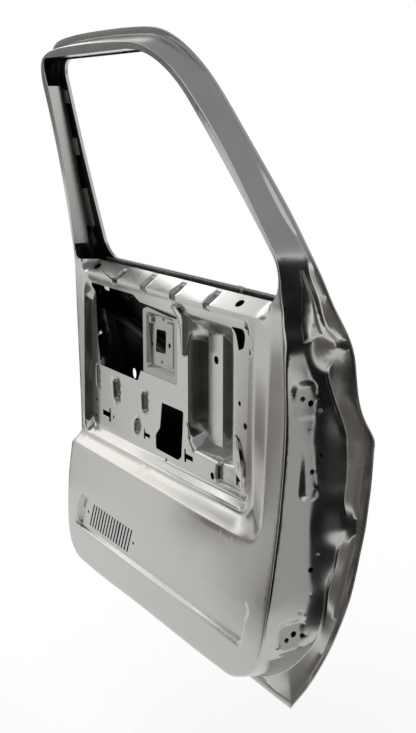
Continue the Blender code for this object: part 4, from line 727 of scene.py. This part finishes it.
def blank(outer, holes, breaks, lift, grid):
    """A sheet inside one outline and outside the holes, bent along the breaks, set in space by lift."""
    points = []
    edges = []
    for loop, closed in [(outer, True)] + [(h, True) for h in holes] + breaks:
        first = len(points)
        points.extend(Vector((float(p[0]), float(p[1]))) for p in loop)
        last = len(points) if closed else len(points) - 1
        for i in range(first, last):
            edges.append((i, i + 1 if i + 1 < len(points) else first))
    near = kdtree.KDTree(len(points))
    for i, point in enumerate(points):
        near.insert(point.to_3d(), i)
    near.balance()
    fixed = np.array([(p.x, p.y) for p in points])
    low = fixed.min(axis=0) + grid / 2
    high = fixed.max(axis=0)
    for row, v in enumerate(np.arange(low[1], high[1], grid * 0.87)):
        for u in np.arange(low[0] + (row % 2) * grid / 2, high[0], grid):
            if near.find((u, v, 0.0))[2] > grid * 0.45:
                points.append(Vector((float(u), float(v))))
    found = geometry.delaunay_2d_cdt(points, edges, [], 0, 1e-6)
    flat = np.array([(p.x, p.y) for p in found[0]])
    tris = np.array([f for f in found[2]])
    middle = flat[tris].mean(axis=1)
    keep = within(outer, middle[:, 0], middle[:, 1])
    for hole in holes:
        keep &= ~within(hole, middle[:, 0], middle[:, 1])
    return lift(flat[:, 0], flat[:, 1]), [tuple(int(i) for i in t) for t in tris[keep]]


# Hinge side: depth and height of each seat's centre, the slant of the seats and of the wall between
# them, and by height how wide a strip of the wall flares out to the ridge, which begins softly
UPPER_HINGE = (0.044, 0.596)
LOWER_HINGE = (0.029, 0.124)
CHECK_STRAP = (0.056, 0.457)
HINGE_SEAT = (0.068, 0.056)
CHECK_SEAT = (0.050, 0.096)
SEAT_SLANT = -0.02
FLARE_WIDTH = [(0.08, 0.024), (0.20, 0.030), (0.35, 0.038), (0.50, 0.038), (0.58, 0.024), (0.70, 0.020)]
FLARE_ENDS = (0.082, 0.122, 0.650, 0.790)
FLARE_BEND = 0.45

# How far a seat's soft edge reaches out and in, the radii of its corners, and how far it stands up
SEAT_EDGE = (0.012, 0.005)
SEAT_CORNERS = (0.022, 0.008)
SEAT_LIFT = 0.001


def station(row):
    """Number of the first station of one row of EDGE."""
    return sum(edge_steps[:row])


def row_at(x, z):
    """The row of EDGE whose face edge is nearest to a place."""
    return min(range(len(EDGE)), key=lambda i: math.hypot(EDGE[i][0][0] - x, EDGE[i][0][1] - z))


class SideWall:
    """The side wall between two rows of EDGE: X by depth and height, with pressed seats and dishes."""

    def __init__(self, first, last, flare=None):
        self.flare = flare
        run = list(range(station(first), station(last) + 1))
        self.stations = run
        self.inner = wall_start[run]
        self.outer = wall_end[run]
        self.seats = []
        self.dishes = []

    def fold(self, z):
        """How deep the flare begins, by height."""
        order = np.argsort(self.outer[:, 2])
        depth = np.interp(z, self.outer[order, 2], self.outer[order, 1])
        return depth - smooth_keys(self.flare, z)

    def slope(self, y, z):
        """X of the plain wall, which is nearly flat at first and bends out to the ridge."""
        sides = []
        for line in (self.inner, self.outer):
            order = np.argsort(line[:, 2])
            high = line[order, 2]
            sides.append((np.interp(z, high, line[order, 0]), np.interp(z, high, line[order, 1])))
        (x0, y0), (x1, y1) = sides
        ruled = x0 + (x1 - x0) * (y - y0) / (y1 - y0)
        if self.flare is None:
            return ruled
        fold_y = y1 - smooth_keys(self.flare, z)
        fold_x = x0 + SEAT_SLANT * (fold_y - y0)
        past = (y - fold_y) / (y1 - fold_y)
        bent = np.clip(past + FLARE_BEND, 0.0, None)**2 / (4 * FLARE_BEND)
        bent = np.where(past > FLARE_BEND, past, bent)
        flat = x0 + SEAT_SLANT * (np.minimum(y, fold_y) - y0)
        folded = flat + (x1 - fold_x) * bent
        rise = np.clip((z - FLARE_ENDS[0]) / (FLARE_ENDS[1] - FLARE_ENDS[0]), 0.0, 1.0)
        fall = np.clip((FLARE_ENDS[3] - z) / (FLARE_ENDS[3] - FLARE_ENDS[2]), 0.0, 1.0)
        return ruled + (folded - ruled) * rise * fall

    def seat(self, centre, size, slant, lift=0.0):
        """Add a flat seat with soft edges round a centre."""
        reach = (size[0] / 2 + SEAT_EDGE[0], size[1] / 2 + SEAT_EDGE[0])
        flat = (size[0] / 2 - SEAT_EDGE[1], size[1] / 2 - SEAT_EDGE[1])
        press = Press(box_outline(centre, reach, SEAT_CORNERS[0], 8),
                      box_outline(centre, flat, SEAT_CORNERS[1], 8), 1.0, 0.5)
        x = float(self.slope(centre[0], centre[1])) + lift
        self.seats.append((press, x, centre[0], slant))

    def x(self, y, z):
        depth = self.slope(y, z)
        for press, seat_x, seat_y, slant in self.seats:
            share_in = press(y, z)
            if self.flare is not None:
                before = np.clip((self.fold(z) + 0.004 - y) / 0.012, 0.0, 1.0)
                share_in = share_in * before * before * (3.0 - 2.0 * before)
            depth = depth * (1 - share_in) + (seat_x + slant * (y - seat_y)) * share_in
        for dish in self.dishes:
            depth = depth + dish(y, z)
        return depth

    def lift(self, y, z):
        return np.column_stack([self.x(y, z), y, z])

    def outline(self):
        edge = [(p[1], p[2]) for p in self.inner] + [(p[1], p[2]) for p in self.outer[::-1]]
        return edge

    def blank(self, holes, grid):
        breaks = []
        for press in [s[0] for s in self.seats] + self.dishes:
            breaks += press.lines()
        return blank(self.outline(), holes, breaks, self.lift, grid)


front_wall = SideWall(row_at(-0.012, 0.082), row_at(-0.019, 0.858), FLARE_WIDTH)
front_wall.seat(UPPER_HINGE, HINGE_SEAT, SEAT_SLANT, SEAT_LIFT)
front_wall.seat(LOWER_HINGE, HINGE_SEAT, SEAT_SLANT, SEAT_LIFT)
front_wall.seat(CHECK_STRAP, CHECK_SEAT, SEAT_SLANT, SEAT_LIFT)

# The bead pressed under the foot of the window frame's leg, and the dishes that spot welds leave
WELD_RADII = (0.0042, 0.0020)
WELD_DEPTH = -0.0009
bead = [(0.0295, 0.700), (0.054, 0.722), (0.045, 0.785), (0.0345, 0.838), (0.029, 0.836), (0.0275, 0.765)]
front_wall.dishes.append(pressed(bead, 0.003, 0.0028, -0.004))
spot_welds = [(0.0044, 0.6107), (0.0643, 0.5752), (0.0427, 0.5421), (0.0684, 0.2878), (0.0566, 0.2071),
              (0.0365, 0.174), (0.048, 0.1456), (-0.0096, 0.1077)]
for y, z in spot_welds:
    outer, inner = (circle(y, z, radius, 16) for radius in WELD_RADII)
    front_wall.dishes.append(Press(outer, inner, WELD_DEPTH, 0.3))

BOLT_HOLE_RADIUS = 0.0055
upper_bolts = [(0.0260, 0.6007), (0.0619, 0.6002)]
lower_bolts = [(0.0102, 0.1197), (0.0464, 0.1217)]
check_bolts = [(0.0480, 0.4587), (0.0594, 0.4259)]
wiring = (0.0555, 0.2593)
upper_pin = (0.0445, 0.5905, 0.0065)
lower_pin = (0.0264, 0.1286, 0.0065)
check_pin = (0.0653, 0.4901, 0.0030)
bolts = upper_bolts + lower_bolts + check_bolts
front_holes = [circle(y, z, BOLT_HOLE_RADIUS) for y, z in bolts]
front_holes += [circle(*pin) for pin in (upper_pin, lower_pin, check_pin)]
front_holes.append(circle(*wiring, BOLT_HOLE_RADIUS))

# The rear wall: the latch's seat, its opening and the three screws round it
LATCH = (0.042, 0.540)
LATCH_SEAT = (0.070, 0.110)
LATCH_SLANT = -0.10
LATCH_OPENING = (0.030, 0.048)
LATCH_SCREW_RADIUS = 0.0045
rear_wall = SideWall(row_at(-0.954, 0.780), row_at(-0.942, 0.400))
rear_wall.seat(LATCH, LATCH_SEAT, LATCH_SLANT)
latch_bolts = [(0.020, 0.568), (0.062, 0.568), (0.042, 0.498)]
latch_hole = box_outline(LATCH, (LATCH_OPENING[0] / 2, LATCH_OPENING[1] / 2), 0.006)
rear_holes = [latch_hole] + [circle(y, z, LATCH_SCREW_RADIUS) for y, z in latch_bolts]

# Lines along which the face bends: the presses' walls, the border's slope, the ends of the block's
# top, and the ledge
REAR_LIMIT = -0.918
BORDER_SHARES = (0.0, 0.08, 0.16, 0.84, 0.92, 1.0)
breaks = []
for press in presses:
    breaks += press.lines()
for share in BORDER_SHARES:
    line = [tuple((1 - share) * np.array(p) + share * np.array(q))
            for p, q in zip(border_edge, plane_edge)]
    line = [(REAR_LIMIT, line[1][1])] + line[1:14] + [(line[13][0], WAIST_Z - 0.021)]
    breaks.append((spaced(line, LINE_GAP), False))
block_reach = (BLOCK_DEPTH - RECESS_DEPTH) / POCKET_DEPTH
block_low = POCKET_LOW_Z + POCKET_WALLS[0] * block_reach
block_high = POCKET_HIGH_Z - POCKET_WALLS[2] * block_reach
breaks += block.lines()
for z in (block_low, block_high):
    breaks.append(([(-0.371, z), (-0.310, z)], False))
for rise in (0.0, LEDGE_RISE):
    line = [(x, WAIST_Z + rise) for x in (-0.925, LEDGE_ENDS[1], LEDGE_ENDS[2], -0.040)]
    breaks.append((spaced(line, LINE_GAP), False))


def face_lift(x, z):
    """Points of the face, a few thousand at a time."""
    depth = [face_y(x[i:i + 4000], z[i:i + 4000]) for i in range(0, len(x), 4000)]
    return np.column_stack([x, np.concatenate(depth), z])


def wall_quads(stations_cut):
    """Quads of the side wall where it has no seats, between the corner and the ridge."""
    count = len(ridge)
    quads = []
    for i in range(count):
        if i in stations_cut and i + 1 in stations_cut:
            continue
        j = (i + 1) % count
        quads.append((i, j, count + j, count + i))
    return np.concatenate([wall_start, wall_end]), quads


def rings_face(rings):
    """Quads between closed rings of equal length."""
    quads = []
    count = len(rings[0])
    for r in range(len(rings) - 1):
        for i in range(count):
            j = (i + 1) % count
            a = r * count
            b = a + count
            quads.append((a + i, a + j, b + j, b + i))
    return quads


# The upper hinge seat's place in the door's own frame, from which these shapes are drawn, and the
# steps of the mesh on the face, on the hinge wall and on the rear wall
SEAT_ORIGIN = Vector((0.01904, 0.04451, 0.609))
FACE_GRID = 0.011
HINGE_WALL_GRID = 0.007
REAR_WALL_GRID = 0.012
inside_edge = [tuple(p) for p in face_start]


def sheet(name, parts, thickness, hidden):
    """A pressed piece for its CAD node, welded from rows of points and faces and given its thickness.

    Inside the shell's edge, faces that look along the hidden direction of Y get the dark steel of painted
    shade.
    """
    build = bmesh.new()
    for points, faces in parts:
        verts = [build.verts.new(Vector([float(c) for c in p]) - SEAT_ORIGIN) for p in points]
        for face in faces:
            if len(set(face)) > 2:
                build.faces.new([verts[i] for i in face])
    bmesh.ops.remove_doubles(build, verts=build.verts, dist=0.00003)
    bmesh.ops.delete(build, geom=[v for v in build.verts if not v.link_faces], context="VERTS")
    bmesh.ops.recalc_face_normals(build, faces=build.faces)
    mesh = bpy.data.meshes.new(name + "_pressed")
    build.to_mesh(mesh)
    build.free()
    thing = bpy.data.objects.new(name + "_pressed", mesh)
    bpy.context.scene.collection.objects.link(thing)
    solid = thing.modifiers.new("sheet", "SOLIDIFY")
    solid.thickness = thickness
    solid.offset = 0.0
    solid.use_even_offset = True
    seen = thing.evaluated_get(bpy.context.evaluated_depsgraph_get())
    whole = bpy.data.meshes.new_from_object(seen)
    thing.modifiers.clear()
    thing.data = whole
    bpy.data.meshes.remove(mesh)
    whole.shade_smooth()
    whole.set_sharp_from_angle(angle=math.radians(40))
    whole.materials.append(panel_steel)
    whole.materials.append(painted_shade_steel)
    # Faces turned into the shell take the nearly black steel: painted shade for the inside of the shell
    for face in whole.polygons:
        if face.normal.y * hidden > 0.35:
            place = face.center + SEAT_ORIGIN
            face.material_index = int(outline_distance(inside_edge, place.x, place.z)[1])
    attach(thing, "root")
    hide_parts(name)


panel_parts = [blank(inside_edge, openings, breaks, face_lift, FACE_GRID),
               (np.concatenate(corner_rings), rings_face(corner_rings)),
               wall_quads(front_wall.stations + rear_wall.stations),
               front_wall.blank(front_holes, HINGE_WALL_GRID), rear_wall.blank(rear_holes, REAR_WALL_GRID),
               (np.concatenate(flange_rings), rings_face(flange_rings))]
sheet("inner_panel", panel_parts, INNER_SHEET, 1.0)


# The plates behind the hinge wall and round the latch: 2.5 mm steel, spot-welded behind the inner
# panel, with nuts welded on for the hinges', the check strap's and the latch's bolts. The plates are
# sheared and duller than the pressings, and the nuts are zinc-plated.
plate_steel = bare_steel("cold_rolled_steel_plate", "a9a8a4", 0.36)
zinc = bare_steel("steel_zinc_plated", "cdccc6", 0.30)


def dress(names, mat):
    """Give nodes that keep their solid's shape a material, and smooth shading up to 35 degrees."""
    for name in names:
        mesh = nodes[name].data
        mesh.materials.clear()
        mesh.materials.append(mat)
        mesh.shade_smooth()
        mesh.set_sharp_from_angle(angle=math.radians(35))


dress(("upper_hinge_plate", "lower_hinge_plate", "check_strap_plate"), plate_steel)
# The latch's plate, inside the shell, takes the nearly black steel of painted shade
dress(("latch_plate",), painted_shade_steel)
dress([name for name in nodes if "nut" in name], zinc)


# The glass run channels of the window frame and the rails of the glass slot: strips of the panel's own
# steel, roll-formed and spot-welded to the frame and the ledge.
dress(("rear_run_channel", "top_run_channel", "front_run_channel"), panel_steel)
dress(("outer_waist_rail", "inner_waist_rail"), panel_steel)


# Brackets that show from the cab: the handle's plate in the big access opening, the small one at the
# glass slot's front end, of sheared steel, and the zinc-plated strip with two slots for a glass guide.
dress(("inner_handle_bracket", "waist_rail_bracket"), plate_steel)
dress(("front_guide_bracket",), zinc)


# What stands in the dark of the shell: the steel tube against side impacts, welded to a bracket at
# # each end, the glass guides bolted to their feet, and the plate behind the outer handle, all in steel
# painted nearly black as painted shade.
dress(("side_impact_beam", "beam_front_bracket", "beam_rear_bracket"), painted_shade_steel)
dress(("rear_glass_guide", "front_glass_guide", "rear_guide_foot", "front_guide_foot"), painted_shade_steel)
dress(("outer_handle_plate",), painted_shade_steel)


# The outer skin: one sheet of 0.9 mm cold-rolled steel, pressed with its crown and the handle's cup.
# It goes on last, with its edge folded round the panel's flange in a hem, and a lip round the window.
SKIN_SILL_Z = SILL_Z + 0.006
SKIN_GRID = 0.018
HANDLE_Z = WAIST_Z - 0.037
CUP_DEPTH = 0.014
CUP_HALF = (0.081, 0.035)
LIP = 0.007
FOLD_STEPS = 8
skin_window = window_outline(-0.882, -0.900, SKIN_SILL_Z, WINDOW_TOP_Z - 0.003, 0.020,
                             [0.050, 0.055, 0.260, 0.040])
handle_cup = pressed(box_outline((-0.871, HANDLE_Z), CUP_HALF), 0.020, CUP_DEPTH, -CUP_DEPTH, 8, 0.4)


def skin_lift(x, z):
    """Points of the skin with its handle cup, a few thousand at a time."""
    depth = []
    for i in range(0, len(x), 4000):
        u, v = x[i:i + 4000], z[i:i + 4000]
        depth.append(skin_y(u, v) + handle_cup(u, v))
    return np.column_stack([x, np.concatenate(depth), z])


# Holes for the handle's arm, its screw and the lock
handle_slot = (-0.922, HANDLE_Z)
handle_screw = (-0.820, HANDLE_Z)
handle_holes = [box_outline(handle_slot, (0.014, 0.020), 0.005), circle(*handle_screw, 0.0055),
                circle(-0.874, 0.467, 0.009, 28, 1.5)]
fold_start = toward(hem_edge, ridge, FOLD_RADIUS)
fold_depth = skin_y(fold_start[:, 0], fold_start[:, 1]) - FOLD_RADIUS
hem_rings = []
for turn in range(FOLD_STEPS + 1):
    angle = math.pi * turn / FOLD_STEPS
    edge = toward(hem_edge, ridge, FOLD_RADIUS * (1 - math.sin(angle)))
    hem_rings.append(ring(edge, fold_depth + FOLD_RADIUS * math.cos(angle)))
leaf = toward(hem_edge, ridge, hem_width)
hem_rings.append(ring(leaf, skin_y(leaf[:, 0], leaf[:, 1]) - 2 * FOLD_RADIUS))
lip_line = np.array(skin_window)
lip_depth = skin_y(lip_line[:, 0], lip_line[:, 1])
lip_rings = [ring(lip_line, lip_depth), ring(lip_line, lip_depth - LIP)]
skin_breaks = [([tuple(p) for p in hem_stop], True)] + handle_cup.lines()
skin_outline = [tuple(p) for p in fold_start]
skin_parts = [blank(skin_outline, [skin_window] + handle_holes, skin_breaks, skin_lift, SKIN_GRID),
              (np.concatenate(hem_rings), rings_face(hem_rings)),
              (np.concatenate(lip_rings), rings_face(lip_rings))]
sheet("outer_skin", skin_parts, SKIN_SHEET, -1.0)
